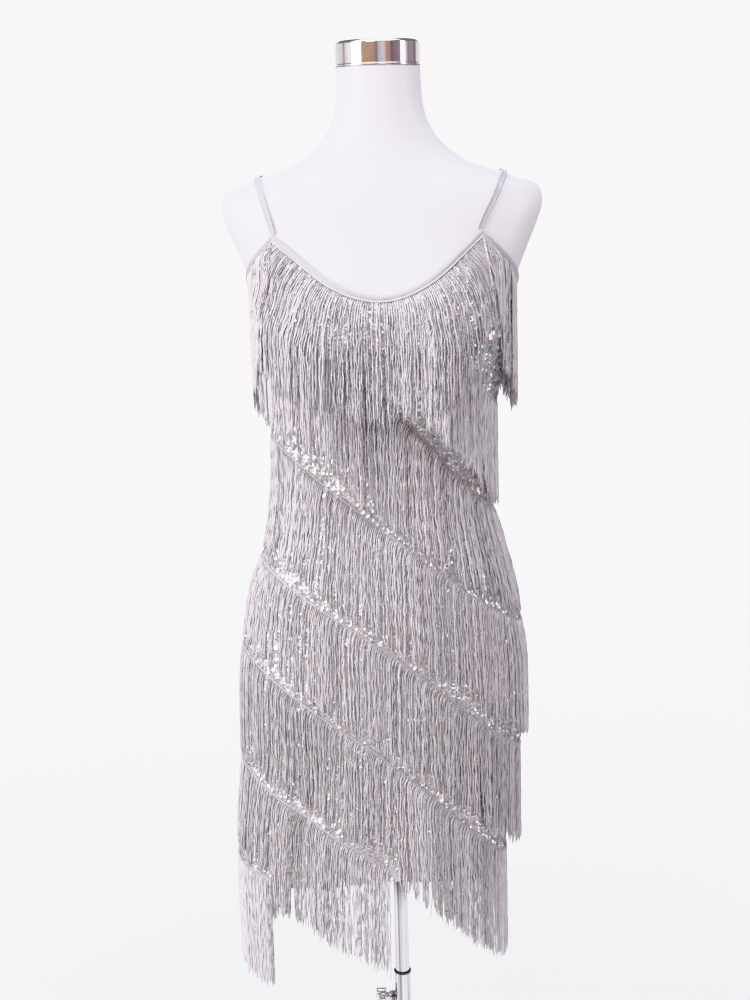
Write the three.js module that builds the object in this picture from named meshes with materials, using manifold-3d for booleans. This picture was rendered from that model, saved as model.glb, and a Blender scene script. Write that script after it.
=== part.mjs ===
// Sequin dress with diagonal rows of fringe, worn by a limbless dress form on a pole stand.
// Millimetres, +Z up, the front faces -Y and the wearer's left is +X.
// The origin is on the floor, under the pole.

import * as THREE from 'three';
import { mergeVertices } from 'three/addons/utils/BufferGeometryUtils.js';
import Module from 'manifold-3d';

// ---------------------------------------------------------------- driving dimensions

const GAP = 0.3; // between pieces that touch
const ROUND = 32; // facets round a turned piece

const BASE = { radius: 170, thickness: 7, edge: 2.5, hubRadius: 26, hubTop: 15, hubHeight: 20 };
const LOWER_TUBE = { radius: 10.5, bore: 9.6, top: 432 };
const BUSH = { radius: 10.9, bore: 9.3, height: 2.2 };
const UPPER_TUBE = { radius: 9, bottom: 190, top: 736 };
const BOSS = { radius: 7, reach: 17, height: 398, hole: 3.4 };
const KNOB = { lobes: 6, radius: 10.5, scallop: 1.8, thickness: 13, neck: 5.5, neckLength: 4, stem: 2.9 };
const SOCKET = { radius: 13.5, bore: 9.3, bottom: 692, flangeRadius: 46, flangeThickness: 4 };
const CAP = { radius: 47.5, lip: 48.3, lipHeight: 2.5, bevel: 3, height: 29 };

const WALL = 1.5; // panels of sequin mesh
const BINDING = { height: 6.7, thickness: 2.6 };
const STRAP = { width: 7, tip: 5.5, thickness: 1.5, offForm: 1.7, steps: 14 };
const TAPE = { height: 10, offset: 0.9, thickness: 1.3 };
const FRINGE = { offset: 1.4, thickness: 4.2 };
const TOP_FRINGE = { offset: 7.5, length: 132, rootDrop: 12 };
const FORM_LIP = 790; // below here the form turns under to its flat bottom
const STRIP = 9; // sequins left showing above the next trim
const HIDDEN_START = 24; // how far below a top edge the covered trims begin
const END_INSET = 0.008; // radians drawn in at the cut end of a trim
const STEP = 0.002; // radians over which strands change length

// Cut of the bodice. Angles are from the front, in degrees, towards the wearer's left.
const SIDE_SEAM = 90;
const FRONT_CORNER = { angle: 59.6, height: 1359 };
const BACK_CORNER = { angle: 133.5, height: 1322 };
const NECK_DIP = { height: 1293, power: 1.85 };
const UNDERARM = { height: 1288, frontPower: 1.4, backPower: 1.5 };
const BACK_DIP = 1302;
const HEM = { side: 588, rise: 28 };
const WORN_TURN = -2.2; // how far the dress is turned round the form
const STRAP_CREST = 139; // distance from the pole where the strap crosses the shoulder

const BUST = { swell: 28, height: 1247, above: 46, below: 38, angle: 37, spread: 25 };

// Horizontal sections of the form: half width, depth in front of and behind the pole axis,
// and squareness (2 is an ellipse).
const FORM_COLUMNS = ['height', 'half', 'front', 'back', 'square'];
const FORM_SECTIONS = [
  [745, 110, 78, 82, 2.2],
  [750, 127, 91, 97, 2.2],
  [764, 141, 100, 110, 2.2],
  [790, 150, 105, 119, 2.2],
  [830, 154.5, 107, 124, 2.2],
  [870, 152, 107, 122, 2.2],
  [910, 146, 106, 115, 2.2],
  [950, 137, 103, 104, 2.2],
  [990, 126, 98, 92, 2.2],
  [1030, 117, 91, 82, 2.2],
  [1075, 113, 86, 75, 2.2],
  [1120, 116, 86, 76, 2.2],
  [1165, 123, 89, 83, 2.2],
  [1210, 129, 92, 90, 2.25],
  [1250, 134, 95, 95, 2.3],
  [1280, 138, 94, 98, 2.35],
  [1309, 150, 90, 100, 2.4],
  [1346, 166, 82, 100, 2.4],
  [1375, 178, 75, 97, 2.4],
  [1392, 183, 71, 93, 2.3],
  [1406, 181, 67, 88, 2.2],
  [1413, 174, 65, 85, 2.1],
  [1421, 152, 62, 80, 2.05],
  [1431, 124, 59, 75, 2],
  [1441, 97, 56, 70, 2],
  [1450, 83, 54, 66, 2],
  [1462, 69, 51, 61, 2],
  [1478, 58, 49, 56, 2],
  [1493, 52, 48, 52, 2],
  [1510, 49, 47, 49, 2],
  [1544, 47.5, 47.5, 47.5, 2],
];

// Inside of the dress. It clings from bust to hip and hangs free below, fuller on one side.
const DRESS_COLUMNS = ['height', 'left', 'right', 'front', 'back', 'square'];
const DRESS_SECTIONS = [
  [550, 126, 195, 124, 132, 2.2],
  [600, 129, 197, 122, 131, 2.2],
  [650, 133, 195, 118, 130, 2.2],
  [700, 136, 190, 114, 129, 2.2],
  [730, 142, 187, 112, 128, 2.2],
  [760, 152, 186, 110, 127, 2.2],
  [800, 157.5, 185, 110, 128, 2.2],
  [850, 157, 182, 110, 127, 2.2],
  [900, 151, 175, 109, 120, 2.2],
  [950, 143, 165, 106, 109, 2.2],
  [1000, 130, 147, 100, 95, 2.2],
  [1050, 119, 138, 92, 84, 2.2],
  [1100, 117, 134, 89, 79, 2.2],
  [1150, 123, 134, 91, 84, 2.2],
  [1200, 130, 137, 94, 92, 2.25],
  [1250, 136.5, 141, 97.5, 98, 2.3],
  [1285, 141.5, 145, 96.5, 101, 2.35],
  [1309, 152.5, 153, 92.5, 102.5, 2.4],
  [1346, 168.5, 168.5, 84.5, 102.5, 2.4],
  [1375, 180.5, 180.5, 77.5, 99.5, 2.4],
];

// Diagonal trims: height at the pole axis, fall for each millimetre towards +X, extra drop at
// the wearer's left and right sides, and strand length. Each one is a level ring that has been
// tilted.
const TRIM_COLUMNS = ['name', 'height', 'fall', 'leftDroop', 'rightDroop', 'length'];
const TRIMS = [
  ['row_2', 1325, 1.05, 30, 30, 122],
  ['row_3', 1182, 1.12, 12, 36, 142],
  ['row_4', 1028, 0.8, 6, 0, 140],
  ['row_5', 889, 0.745, 30, 13, 138],
  ['row_6', 754, 0.835, 34, 22, 140],
  ['row_7', 626, 0.6, 24, 0, 134],
  ['row_8', 579, 0.72, 110, 110, 140],
];

const COLOURS = {
  form: { color: 0xf2f0f6, roughness: 0.45, metalness: 0 },
  chrome: { color: 0xc9c9ce, roughness: 0.12, metalness: 1 },
  bush: { color: 0x2b2930, roughness: 0.6, metalness: 0 },
  base: { color: 0xc2c2c6, roughness: 0.3, metalness: 1 },
  panel: { color: 0xb3aab0, roughness: 0.5, metalness: 0.2 },
  satin: { color: 0xc9c5cd, roughness: 0.4, metalness: 0 },
  tape: { color: 0xb9b1b6, roughness: 0.75, metalness: 0 },
  fringe: { color: 0xc4bdc2, roughness: 0.7, metalness: 0 },
};

// ---------------------------------------------------------------- tables and curves

const radians = THREE.MathUtils.degToRad;
const mix = THREE.MathUtils.lerp;

function rowsOf(columns, table) {
  return table.map((row) => Object.fromEntries(columns.map((name, i) => [name, row[i]])));
}

// A smooth curve through one column of a section table that never swings past its rows.
function smoothColumn(rows, name) {
  const slopes = rows.map((row, i) => {
    if (i === 0 || i === rows.length - 1) return 0;
    const before = slopeBetween(rows[i - 1], row, name);
    const after = slopeBetween(row, rows[i + 1], name);
    return before * after <= 0 ? 0 : (2 * before * after) / (before + after);
  });
  return (height) => {
    const z = THREE.MathUtils.clamp(height, rows[0].height, rows.at(-1).height);
    const i = Math.min(rows.findLastIndex((row) => row.height <= z), rows.length - 2);
    const span = rows[i + 1].height - rows[i].height;
    const t = (z - rows[i].height) / span;
    const ease = t * t * (3 - 2 * t);
    return mix(rows[i][name], rows[i + 1][name], ease)
      + span * (t * (1 - t) ** 2 * slopes[i] - t * t * (1 - t) * slopes[i + 1]);
  };
}

function slopeBetween(low, high, name) {
  return (high[name] - low[name]) / (high.height - low.height);
}

function bustSwell(angle, height) {
  const spread = radians(BUST.spread);
  const rise = (height - BUST.height) / (height > BUST.height ? BUST.above : BUST.below);
  const sides = [-1, 1].map((side) => {
    const turn = (angle - side * radians(BUST.angle)) / spread;
    return Math.exp(-0.5 * turn * turn);
  });
  return BUST.swell * (sides[0] + sides[1]) * Math.exp(-0.5 * rise * rise);
}

// Distance from the pole axis to a body's surface, at an angle from the front and a height.
function bodyRadius(rows, left, right) {
  const curve = {};
  for (const name of [left, right, 'front', 'back', 'square']) curve[name] = smoothColumn(rows, name);
  return (angle, height) => {
    const across = Math.sin(angle) / curve[Math.sin(angle) >= 0 ? left : right](height);
    const along = Math.cos(angle) / curve[Math.cos(angle) >= 0 ? 'front' : 'back'](height);
    const power = curve.square(height);
    const section = (Math.abs(across) ** power + Math.abs(along) ** power) ** (-1 / power);
    return section + bustSwell(wrap(angle), height);
  };
}

function wrap(angle) {
  return Math.atan2(Math.sin(angle), Math.cos(angle));
}

const formRows = rowsOf(FORM_COLUMNS, FORM_SECTIONS);
const formRadius = bodyRadius(formRows, 'half', 'half');
const dressRadius = bodyRadius(rowsOf(DRESS_COLUMNS, DRESS_SECTIONS), 'left', 'right');

function pointAt(angle, radius, height) {
  return new THREE.Vector3(radius * Math.sin(angle), -radius * Math.cos(angle), height);
}

function onForm(angle, height) {
  return pointAt(angle, formRadius(angle, height), height);
}

function onDress(angle, height, out = 0) {
  return pointAt(angle, dressRadius(angle, height) + out, height);
}

// ---------------------------------------------------------------- cut lines of the dress

// Top edge of the sequin panels: neckline, armholes and back, at an angle from the front.
function topEdge(angle) {
  const turn = THREE.MathUtils.radToDeg(Math.abs(wrap(angle - radians(WORN_TURN))));
  if (turn <= FRONT_CORNER.angle) {
    const share = (turn / FRONT_CORNER.angle) ** NECK_DIP.power;
    return mix(NECK_DIP.height, FRONT_CORNER.height, share);
  }
  if (turn <= SIDE_SEAM) {
    const share = (SIDE_SEAM - turn) / (SIDE_SEAM - FRONT_CORNER.angle);
    return mix(UNDERARM.height, FRONT_CORNER.height, share ** UNDERARM.frontPower);
  }
  if (turn <= BACK_CORNER.angle) {
    const share = (turn - SIDE_SEAM) / (BACK_CORNER.angle - SIDE_SEAM);
    return mix(UNDERARM.height, BACK_CORNER.height, share ** UNDERARM.backPower);
  }
  const share = (180 - turn) / (180 - BACK_CORNER.angle);
  return mix(BACK_DIP, BACK_CORNER.height, share * share);
}

function hemEdge(angle) {
  return HEM.side + HEM.rise * Math.cos(angle) ** 2;
}

// Height of a tilted ring on the dress, settled by repeated substitution.
function trimHeight(trim, angle) {
  const droop = Math.sin(angle) >= 0 ? trim.leftDroop : trim.rightDroop;
  const level = trim.height - droop * Math.sin(angle) ** 2;
  let height = level;
  for (let i = 0; i < 60; i += 1) {
    const target = level - trim.fall * dressRadius(angle, height) * Math.sin(angle);
    height = mix(height, target, 0.5);
  }
  return height;
}

// ---------------------------------------------------------------- closed geometry

// A closed geometry from points and triangles, turned so that its faces point out.
function closedGeometry(points, triangles) {
  let volume = 0;
  const normal = new THREE.Vector3();
  for (const [a, b, c] of triangles) {
    volume += points[a].dot(normal.crossVectors(points[b], points[c]));
  }
  const order = volume < 0 ? triangles.map(([a, b, c]) => [a, c, b]) : triangles;
  const geometry = new THREE.BufferGeometry();
  const positions = points.flatMap((point) => point.toArray());
  geometry.setAttribute('position', new THREE.Float32BufferAttribute(positions, 3));
  geometry.setIndex(order.flat());
  geometry.computeVertexNormals();
  return geometry;
}

// A wall between two grids of points, grids[row][column], closed all round its edges.
function wall(inner, outer) {
  const rows = inner.length;
  const columns = inner[0].length;
  const points = [...inner.flat(), ...outer.flat()];
  const inside = (r, c) => r * columns + c;
  const outside = (r, c) => rows * columns + inside(r, c);
  const triangles = [];
  const quad = (a, b, c, d) => triangles.push([a, b, c], [a, c, d]);
  for (let r = 0; r + 1 < rows; r += 1) {
    for (let c = 0; c + 1 < columns; c += 1) {
      quad(outside(r, c), outside(r + 1, c), outside(r + 1, c + 1), outside(r, c + 1));
      quad(inside(r, c), inside(r, c + 1), inside(r + 1, c + 1), inside(r + 1, c));
    }
    const last = columns - 1;
    quad(inside(r, 0), inside(r + 1, 0), outside(r + 1, 0), outside(r, 0));
    quad(inside(r, last), outside(r, last), outside(r + 1, last), inside(r + 1, last));
  }
  const bottom = rows - 1;
  for (let c = 0; c + 1 < columns; c += 1) {
    quad(inside(0, c), outside(0, c), outside(0, c + 1), inside(0, c + 1));
    quad(inside(bottom, c), inside(bottom, c + 1), outside(bottom, c + 1), outside(bottom, c));
  }
  return closedGeometry(points, triangles);
}

// A closed body through rings of points, with a flat cap at each end.
function loft(rings) {
  const count = rings[0].length;
  const points = rings.flat();
  const triangles = [];
  for (let r = 0; r + 1 < rings.length; r += 1) {
    for (let c = 0; c < count; c += 1) {
      const next = (c + 1) % count;
      const [a, b] = [r * count + c, r * count + next];
      triangles.push([a, b, a + count], [b, b + count, a + count]);
    }
  }
  for (const end of [0, rings.length - 1]) {
    const centre = points.length;
    points.push(new THREE.Vector3(0, 0, rings[end][0].z));
    for (let c = 0; c < count; c += 1) {
      const [a, b] = [end * count + c, end * count + ((c + 1) % count)];
      triangles.push(end === 0 ? [centre, b, a] : [centre, a, b]);
    }
  }
  return closedGeometry(points, triangles);
}

// A turned piece about Z. The profile lists [radius, height] and closes on itself or the axis.
function turned(profile, segments = ROUND) {
  const points = profile.map(([radius, height]) => new THREE.Vector2(radius, height));
  return new THREE.LatheGeometry(points, segments).rotateX(Math.PI / 2);
}

function sleeve(bore, radius, bottom, top) {
  return turned([[bore, bottom], [radius, bottom], [radius, top], [bore, top], [bore, bottom]]);
}

// ---------------------------------------------------------------- joining and cutting

const wasm = await Module();
wasm.setup();

function solidOf(geometry) {
  const bare = geometry.clone();
  bare.deleteAttribute('normal');
  bare.deleteAttribute('uv');
  const merged = mergeVertices(bare, 1e-4);
  return new wasm.Manifold(new wasm.Mesh({
    numProp: 3,
    vertProperties: new Float32Array(merged.attributes.position.array),
    triVerts: new Uint32Array(merged.index.array),
  }));
}

function geometryOf(solid) {
  const mesh = solid.getMesh();
  const geometry = new THREE.BufferGeometry();
  geometry.setAttribute('position', new THREE.Float32BufferAttribute(mesh.vertProperties, 3));
  geometry.setIndex([...mesh.triVerts]);
  geometry.computeVertexNormals();
  return geometry;
}

// ---------------------------------------------------------------- scene helpers

const part = new THREE.Group();

function add(name, geometry, look) {
  const mesh = new THREE.Mesh(geometry, new THREE.MeshStandardMaterial(COLOURS[look]));
  mesh.name = name;
  part.add(mesh);
  return mesh;
}

// ---------------------------------------------------------------- stand

function addBase() {
  const { radius, thickness, edge } = BASE;
  add('base_plate', turned([
    [0, 0], [radius - edge, 0], [radius, edge], [radius, thickness - edge],
    [radius - edge, thickness], [0, thickness],
  ], 56), 'base');
  const bottom = thickness + GAP;
  const bore = LOWER_TUBE.radius + GAP;
  add('base_hub', turned([
    [bore, bottom], [BASE.hubRadius, bottom], [BASE.hubTop, bottom + BASE.hubHeight],
    [bore, bottom + BASE.hubHeight], [bore, bottom],
  ]), 'chrome');
}

// A cylinder lying along X.
function crossCylinder(radius, from, to) {
  const geometry = new THREE.CylinderGeometry(radius, radius, Math.abs(to - from), 24);
  return geometry.rotateZ(Math.PI / 2).translate((from + to) / 2, 0, BOSS.height);
}

// The lower tube carries a threaded boss for the clamp knob, drilled through to the bore.
function addLowerTube() {
  const tube = sleeve(LOWER_TUBE.bore, LOWER_TUBE.radius, BASE.thickness + GAP, LOWER_TUBE.top);
  const boss = crossCylinder(BOSS.radius, -BOSS.reach, -(LOWER_TUBE.bore + LOWER_TUBE.radius) / 2);
  const hole = crossCylinder(BOSS.hole, -BOSS.reach - 1, -LOWER_TUBE.bore + 1);
  add('lower_tube', geometryOf(solidOf(tube).add(solidOf(boss)).subtract(solidOf(hole))), 'chrome');
  const top = LOWER_TUBE.top + GAP;
  add('tube_bush', sleeve(BUSH.bore, BUSH.radius, top, top + BUSH.height), 'bush');
}

// A lobed clamp knob on a screw whose tip all but touches the upper tube.
function addKnob() {
  const outline = new THREE.Shape();
  const steps = KNOB.lobes * 6;
  for (let i = 0; i < steps; i += 1) {
    const turn = (i / steps) * 2 * Math.PI;
    const reach = KNOB.radius - KNOB.scallop * (0.5 - 0.5 * Math.cos(KNOB.lobes * turn));
    const point = [reach * Math.cos(turn), reach * Math.sin(turn)];
    if (i === 0) outline.moveTo(...point);
    else outline.lineTo(...point);
  }
  outline.closePath();
  const start = BOSS.reach + GAP + KNOB.neckLength;
  const bevel = 1.6;
  const head = new THREE.ExtrudeGeometry(outline, {
    depth: KNOB.thickness - 2 * bevel,
    bevelThickness: bevel,
    bevelSize: bevel,
    bevelOffset: -bevel,
    bevelSegments: 2,
  }).rotateY(-Math.PI / 2).translate(-start - bevel, 0, BOSS.height);
  const neck = crossCylinder(KNOB.neck, -start - 1, -BOSS.reach - GAP);
  const stem = crossCylinder(KNOB.stem, -start, -UPPER_TUBE.radius - GAP);
  add('clamp_knob', geometryOf(solidOf(head).add(solidOf(neck)).add(solidOf(stem))), 'chrome');
}

function addUpperTube() {
  const { radius, bottom, top } = UPPER_TUBE;
  add('upper_tube', turned([[0, bottom], [radius, bottom], [radius, top], [0, top]]), 'chrome');
}

// ---------------------------------------------------------------- dress form

const quarter = {
  neck: spread(0, FRONT_CORNER.angle, 6),
  armholeFront: spread(FRONT_CORNER.angle, SIDE_SEAM, 4),
  armholeBack: spread(SIDE_SEAM, BACK_CORNER.angle, 4),
  back: spread(BACK_CORNER.angle, 180, 4),
};

function spread(from, to, steps) {
  return Array.from({ length: steps + 1 }, (_, i) => mix(from, to, i / steps));
}

// Joins runs of angles that share their ends, and mirrors them to the other side.
function joinRuns(...runs) {
  return runs.flatMap((run, i) => (i === 0 ? run : run.slice(1)));
}

function bothSides(angles) {
  return [...angles.slice(1).reverse().map((angle) => -angle), ...angles].map(radians);
}

function worn(angle) {
  return angle + radians(WORN_TURN);
}

const FRONT_ANGLES = bothSides(joinRuns(quarter.neck, quarter.armholeFront)).map(worn);
const BACK_ANGLES = joinRuns(quarter.armholeBack, quarter.back)
  .map(radians)
  .concat(joinRuns(quarter.armholeBack, quarter.back).reverse().slice(1)
    .map((angle) => 2 * Math.PI - radians(angle)))
  .map(worn);

function addForm() {
  const angles = [...FRONT_ANGLES, ...BACK_ANGLES.slice(1, -1)];
  const covered = PANEL_HEIGHTS.filter((height) => height > FORM_LIP);
  const bare = formRows.map((row) => row.height).filter((height) => (
    height <= FORM_LIP || height > PANEL_HEIGHTS[0]
  ));
  const heights = [...bare, ...covered].sort((a, b) => a - b);
  const rings = heights.map((height) => angles.map((angle) => onForm(angle, height)));
  add('form_torso', loft(rings), 'form');

  const seat = formRows.at(-1).height + GAP;
  const top = seat + CAP.height;
  add('neck_cap', turned([
    [0, seat], [CAP.lip, seat], [CAP.lip, seat + CAP.lipHeight], [CAP.radius, seat + CAP.lipHeight],
    [CAP.radius, top - CAP.bevel], [CAP.radius - CAP.bevel, top], [0, top],
  ], 56), 'chrome');
}

// The form stands on a flange whose socket turns on the upper tube.
function addSocket() {
  const top = formRows[0].height - GAP;
  const under = top - SOCKET.flangeThickness;
  const roof = UPPER_TUBE.top + GAP;
  add('form_socket', turned([
    [0, roof], [SOCKET.bore, roof], [SOCKET.bore, SOCKET.bottom], [SOCKET.radius, SOCKET.bottom],
    [SOCKET.radius, under], [SOCKET.flangeRadius, under], [SOCKET.flangeRadius, top], [0, top],
  ]), 'chrome');
}

// ---------------------------------------------------------------- dress

// Heights of the panel's cross rows, closest together over the bust.
const PANEL_HEIGHTS = [
  1270, 1250, 1230, 1205, 1170, 1130, 1085, 1040, 985, 925, 865, 805, 765, 735, 670,
];
const BODICE_ROWS = 3;

// Angles of a panel's columns, with its ends drawn back half a gap from the side seams.
function seamed(angles) {
  const back = (GAP / 2) / Math.abs(dressRadius(radians(SIDE_SEAM), UNDERARM.height));
  return angles.map((angle, i) => {
    if (i === 0) return angle + back;
    return i === angles.length - 1 ? angle - back : angle;
  });
}

const HALVES = { front: seamed(FRONT_ANGLES), back: seamed(BACK_ANGLES) };

// Heights of a panel's points down one column, top edge to hem.
function columnHeights(angle) {
  const top = topEdge(angle) - GAP;
  const bodice = Array.from({ length: BODICE_ROWS }, (_, i) => (
    mix(top, PANEL_HEIGHTS[0], i / BODICE_ROWS)
  ));
  return [...bodice, ...PANEL_HEIGHTS, hemEdge(angle)];
}

// Outside of a panel down one column, straight between its points.
function clothRadius(angle, height) {
  const heights = columnHeights(angle);
  const z = THREE.MathUtils.clamp(height, heights.at(-1), heights[0]);
  const i = Math.max(heights.findIndex((level) => level <= z), 1);
  const share = (heights[i - 1] - z) / (heights[i - 1] - heights[i]);
  return mix(dressRadius(angle, heights[i - 1]), dressRadius(angle, heights[i]), share) + WALL;
}

function addPanel(half) {
  const angles = HALVES[half];
  const heights = angles.map(columnHeights);
  const grid = (out) => heights[0].map((_, r) => (
    angles.map((angle, c) => onDress(angle, heights[c][r], out))
  ));
  add(`panel_${half}`, wall(grid(0), grid(WALL)), 'panel');
}

// A band that follows the top edge, standing on the panel.
function addBinding(name, angles) {
  const foot = 0.2;
  const grid = (out) => [BINDING.height, 0].map((rise) => (
    angles.map((angle) => onDress(angle, topEdge(angle) + rise, out))
  ));
  add(name, wall(grid(foot), grid(foot + BINDING.thickness)), 'satin');
}

// Pulls a run of angles in at both ends, to leave a gap to the next binding.
function shortened(run, sign = 1) {
  const trim = THREE.MathUtils.radToDeg(GAP / 2 / 130);
  return run.map((angle, i) => {
    const end = i === 0 ? trim : i === run.length - 1 ? -trim : 0;
    return worn(radians(sign * (angle + end)));
  });
}

function addBindings() {
  const neck = quarter.neck;
  addBinding('binding_neck', shortened([...neck.slice(1).reverse().map((angle) => -angle), ...neck]));
  addBinding('binding_back', shortened([
    ...quarter.back,
    ...quarter.back.slice(0, -1).reverse().map((angle) => 360 - angle),
  ]));
  const armhole = joinRuns(quarter.armholeFront, quarter.armholeBack);
  addBinding('binding_armhole_left', shortened(armhole));
  addBinding('binding_armhole_right', shortened(armhole, -1));
}

// A point of the form where a ray leaves it, tilted up from the front over to the back.
function overShoulder(x, tilt, low) {
  const ray = new THREE.Vector3(0, -Math.cos(tilt), Math.sin(tilt));
  const at = (distance) => new THREE.Vector3(x, 0, low).addScaledVector(ray, distance);
  const inside = (point) => (
    Math.hypot(point.x, point.y) < formRadius(Math.atan2(point.x, -point.y), point.z)
  );
  let [near, far] = [0, 200];
  for (let i = 0; i < 40; i += 1) {
    const middle = (near + far) / 2;
    if (inside(at(middle))) near = middle;
    else far = middle;
  }
  return at(near);
}

// A narrow strap from the front corner, over the shoulder, to the back corner.
function addStrap(name, side) {
  const lift = BINDING.height + GAP;
  const corner = (spot, out = 0) => onDress(worn(radians(side * spot.angle)), spot.height + lift, out);
  const front = corner(FRONT_CORNER);
  const back = corner(BACK_CORNER);
  const inner = [];
  const outer = [];
  for (let i = 0; i <= STRAP.steps; i += 1) {
    const share = i / STRAP.steps;
    const tilt = Math.PI * share;
    const low = mix(front.z, back.z, share);
    const crest = side * STRAP_CREST;
    const x = share < 0.5
      ? mix(front.x, crest, Math.sin(tilt) ** 1.3)
      : mix(back.x, crest, Math.sin(tilt) ** 1.3);
    const width = mix(STRAP.tip, STRAP.width, Math.sin(tilt) ** 0.5);
    const edges = [-0.5, 0.5].map((edge) => overShoulder(x + edge * width, tilt, low));
    const along = overShoulder(x, tilt + 0.02, low).sub(overShoulder(x, tilt - 0.02, low));
    const across = edges[1].clone().sub(edges[0]);
    const out = across.cross(along).normalize();
    if (out.dot(new THREE.Vector3(0, -Math.cos(tilt), Math.sin(tilt))) < 0) out.negate();
    inner.push(edges.map((point) => point.clone().addScaledVector(out, STRAP.offForm)));
    outer.push(edges.map((point) => (
      point.clone().addScaledVector(out, STRAP.offForm + STRAP.thickness)
    )));
  }
  add(name, wall(inner, outer), 'satin');
}

// ---------------------------------------------------------------- trims

// Whether a trim lies on the cloth at an angle, between its covered top edge and the hem.
function lies(trim, angle) {
  const height = trimHeight(trim, angle);
  return height < topEdge(angle) - HIDDEN_START && height - TAPE.height > hemEdge(angle);
}

// The stretches of a half where a trim lies on the cloth, as lists of angles whose ends are
// found by halving.
function stretches(trim, angles) {
  const on = (angle) => lies(trim, angle);
  const border = (a, b) => {
    let [yes, no] = on(a) ? [a, b] : [b, a];
    for (let i = 0; i < 30; i += 1) {
      const middle = (yes + no) / 2;
      if (on(middle)) yes = middle;
      else no = middle;
    }
    return yes;
  };
  const runs = [[]];
  angles.forEach((angle, i) => {
    const before = angles[i - 1];
    if (i > 0 && on(before) !== on(angle)) {
      runs.at(-1).push(border(before, angle));
      if (on(before)) runs.push([]);
    }
    if (on(angle)) runs.at(-1).push(angle);
  });
  return runs.filter((run) => run.length > 2);
}

// A stretch whose cut ends are drawn in, clear of the strands that hang past them. An angle
// that would lie too near a drawn-in end is left out.
function drawnIn(run, angles) {
  const start = run[0] === angles[0] ? run[0] : run[0] + END_INSET;
  const end = run.at(-1) === angles.at(-1) ? run.at(-1) : run.at(-1) - END_INSET;
  const middle = run.slice(1, -1)
    .filter((angle) => angle > start + END_INSET && angle < end - END_INSET);
  return [start, ...middle, end];
}

// A stretch with a close pair of angles wherever the next trim starts or ends.
function stepped(run, next, angles) {
  if (!next) return run;
  const ends = stretches(next, angles).flatMap((list) => [list[0], list.at(-1)]);
  const pairs = ends.flatMap((end) => [end - STEP, end + STEP])
    .filter((angle) => angle > run[0] && angle < run.at(-1));
  return [...run, ...pairs].sort((a, b) => a - b);
}

// Distances from the axis at which a row of points clears the cloth by a stand-off. It starts
// from the row above, since strands are only ever pushed further out on their way down.
function clearOfCloth(angles, heights, standOff, above) {
  const cloth = (c, height) => clothRadius(angles[c], height) + standOff;
  const reach = angles.map((_, c) => {
    let own = cloth(c, heights[c]);
    if (!above) return own;
    own = Math.max(own, above.reach[c]);
    for (const share of spread(0.3, 0.9, 6)) {
      const less = (standOff - above.standOff) * (1 - share);
      const between = cloth(c, mix(above.heights[c], heights[c], share)) - less;
      own = Math.max(own, (between - above.reach[c] * (1 - share)) / share);
    }
    return own;
  });
  for (let c = 1; c < angles.length; c += 1) {
    for (const share of spread(0.1, 0.9, 8)) {
      const height = mix(heights[c - 1], heights[c], share);
      const short = mix(cloth(c - 1, height), cloth(c, height), share)
        - mix(reach[c - 1], reach[c], share);
      reach[c - 1] += Math.max(short, 0);
      reach[c] += Math.max(short, 0);
    }
  }
  return { heights, reach, standOff };
}

// A closed wall whose inside passes through rows of points at their distances from the axis.
function rowsWall(angles, rows, thickness) {
  const grid = (out) => rows.map(({ heights, reach }) => (
    angles.map((angle, c) => pointAt(angle, reach[c] + out, heights[c]))
  ));
  return wall(grid(0), grid(thickness));
}

// A header tape, on the panel along the trim line.
function addTape(name, angles, heights) {
  const rows = [0, TAPE.height / 2, TAPE.height].map((drop) => (
    clearOfCloth(angles, heights.map((height) => height - drop), TAPE.offset)
  ));
  add(name, rowsWall(angles, rows, TAPE.thickness), 'tape');
}

// A plain wall of the strands' reach, from their tops to their free ends.
function addFringe(name, angles, tops, bottoms, hang) {
  const rows = [clearOfCloth(angles, tops, FRINGE.offset)];
  const start = tops.map((top) => top - hang.drop);
  for (const share of spread(0, 1, hang.rows)) {
    const heights = start.map((height, c) => mix(height, bottoms[c], share));
    rows.push(clearOfCloth(angles, heights, hang.offset, rows.at(-1)));
  }
  add(name, rowsWall(angles, rows, FRINGE.thickness), 'fringe');
}

function addTrims(half) {
  const trims = rowsOf(TRIM_COLUMNS, TRIMS);
  trims.forEach((trim, i) => {
    const next = trims[i + 1];
    for (const stretch of stretches(trim, HALVES[half])) {
      const angles = stepped(drawnIn(stretch, HALVES[half]), next, HALVES[half]);
      addTape(`tape_${trim.name}_${half}`, angles, angles.map((angle) => trimHeight(trim, angle)));
      const tops = angles.map((angle) => trimHeight(trim, angle) - TAPE.height - GAP);
      const bottoms = angles.map((angle) => {
        const free = trimHeight(trim, angle) - trim.length;
        return next && lies(next, angle) ? Math.max(free, trimHeight(next, angle) + STRIP) : free;
      });
      const hang = { offset: FRINGE.offset, drop: TAPE.height, rows: 2 };
      addFringe(`fringe_${trim.name}_${half}`, angles, tops, bottoms, hang);
    }
  });
}

// The first row of fringe hangs from the bindings, over the diagonal rows that it covers.
function addTopFringe(half) {
  const angles = HALVES[half];
  const tops = angles.map((angle) => topEdge(angle) - 2 * GAP);
  const bottoms = tops.map((top) => top - TOP_FRINGE.length);
  const hang = { offset: TOP_FRINGE.offset, drop: TOP_FRINGE.rootDrop, rows: 4 };
  addFringe(`fringe_row_1_${half}`, angles, tops, bottoms, hang);
}

// ---------------------------------------------------------------- assembly

addBase();
addLowerTube();
addKnob();
addUpperTube();
addSocket();
addForm();
for (const half of ['front', 'back']) {
  addPanel(half);
  addTopFringe(half);
  addTrims(half);
}
addBindings();
addStrap('strap_left', 1);
addStrap('strap_right', -1);

export default part;
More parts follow.
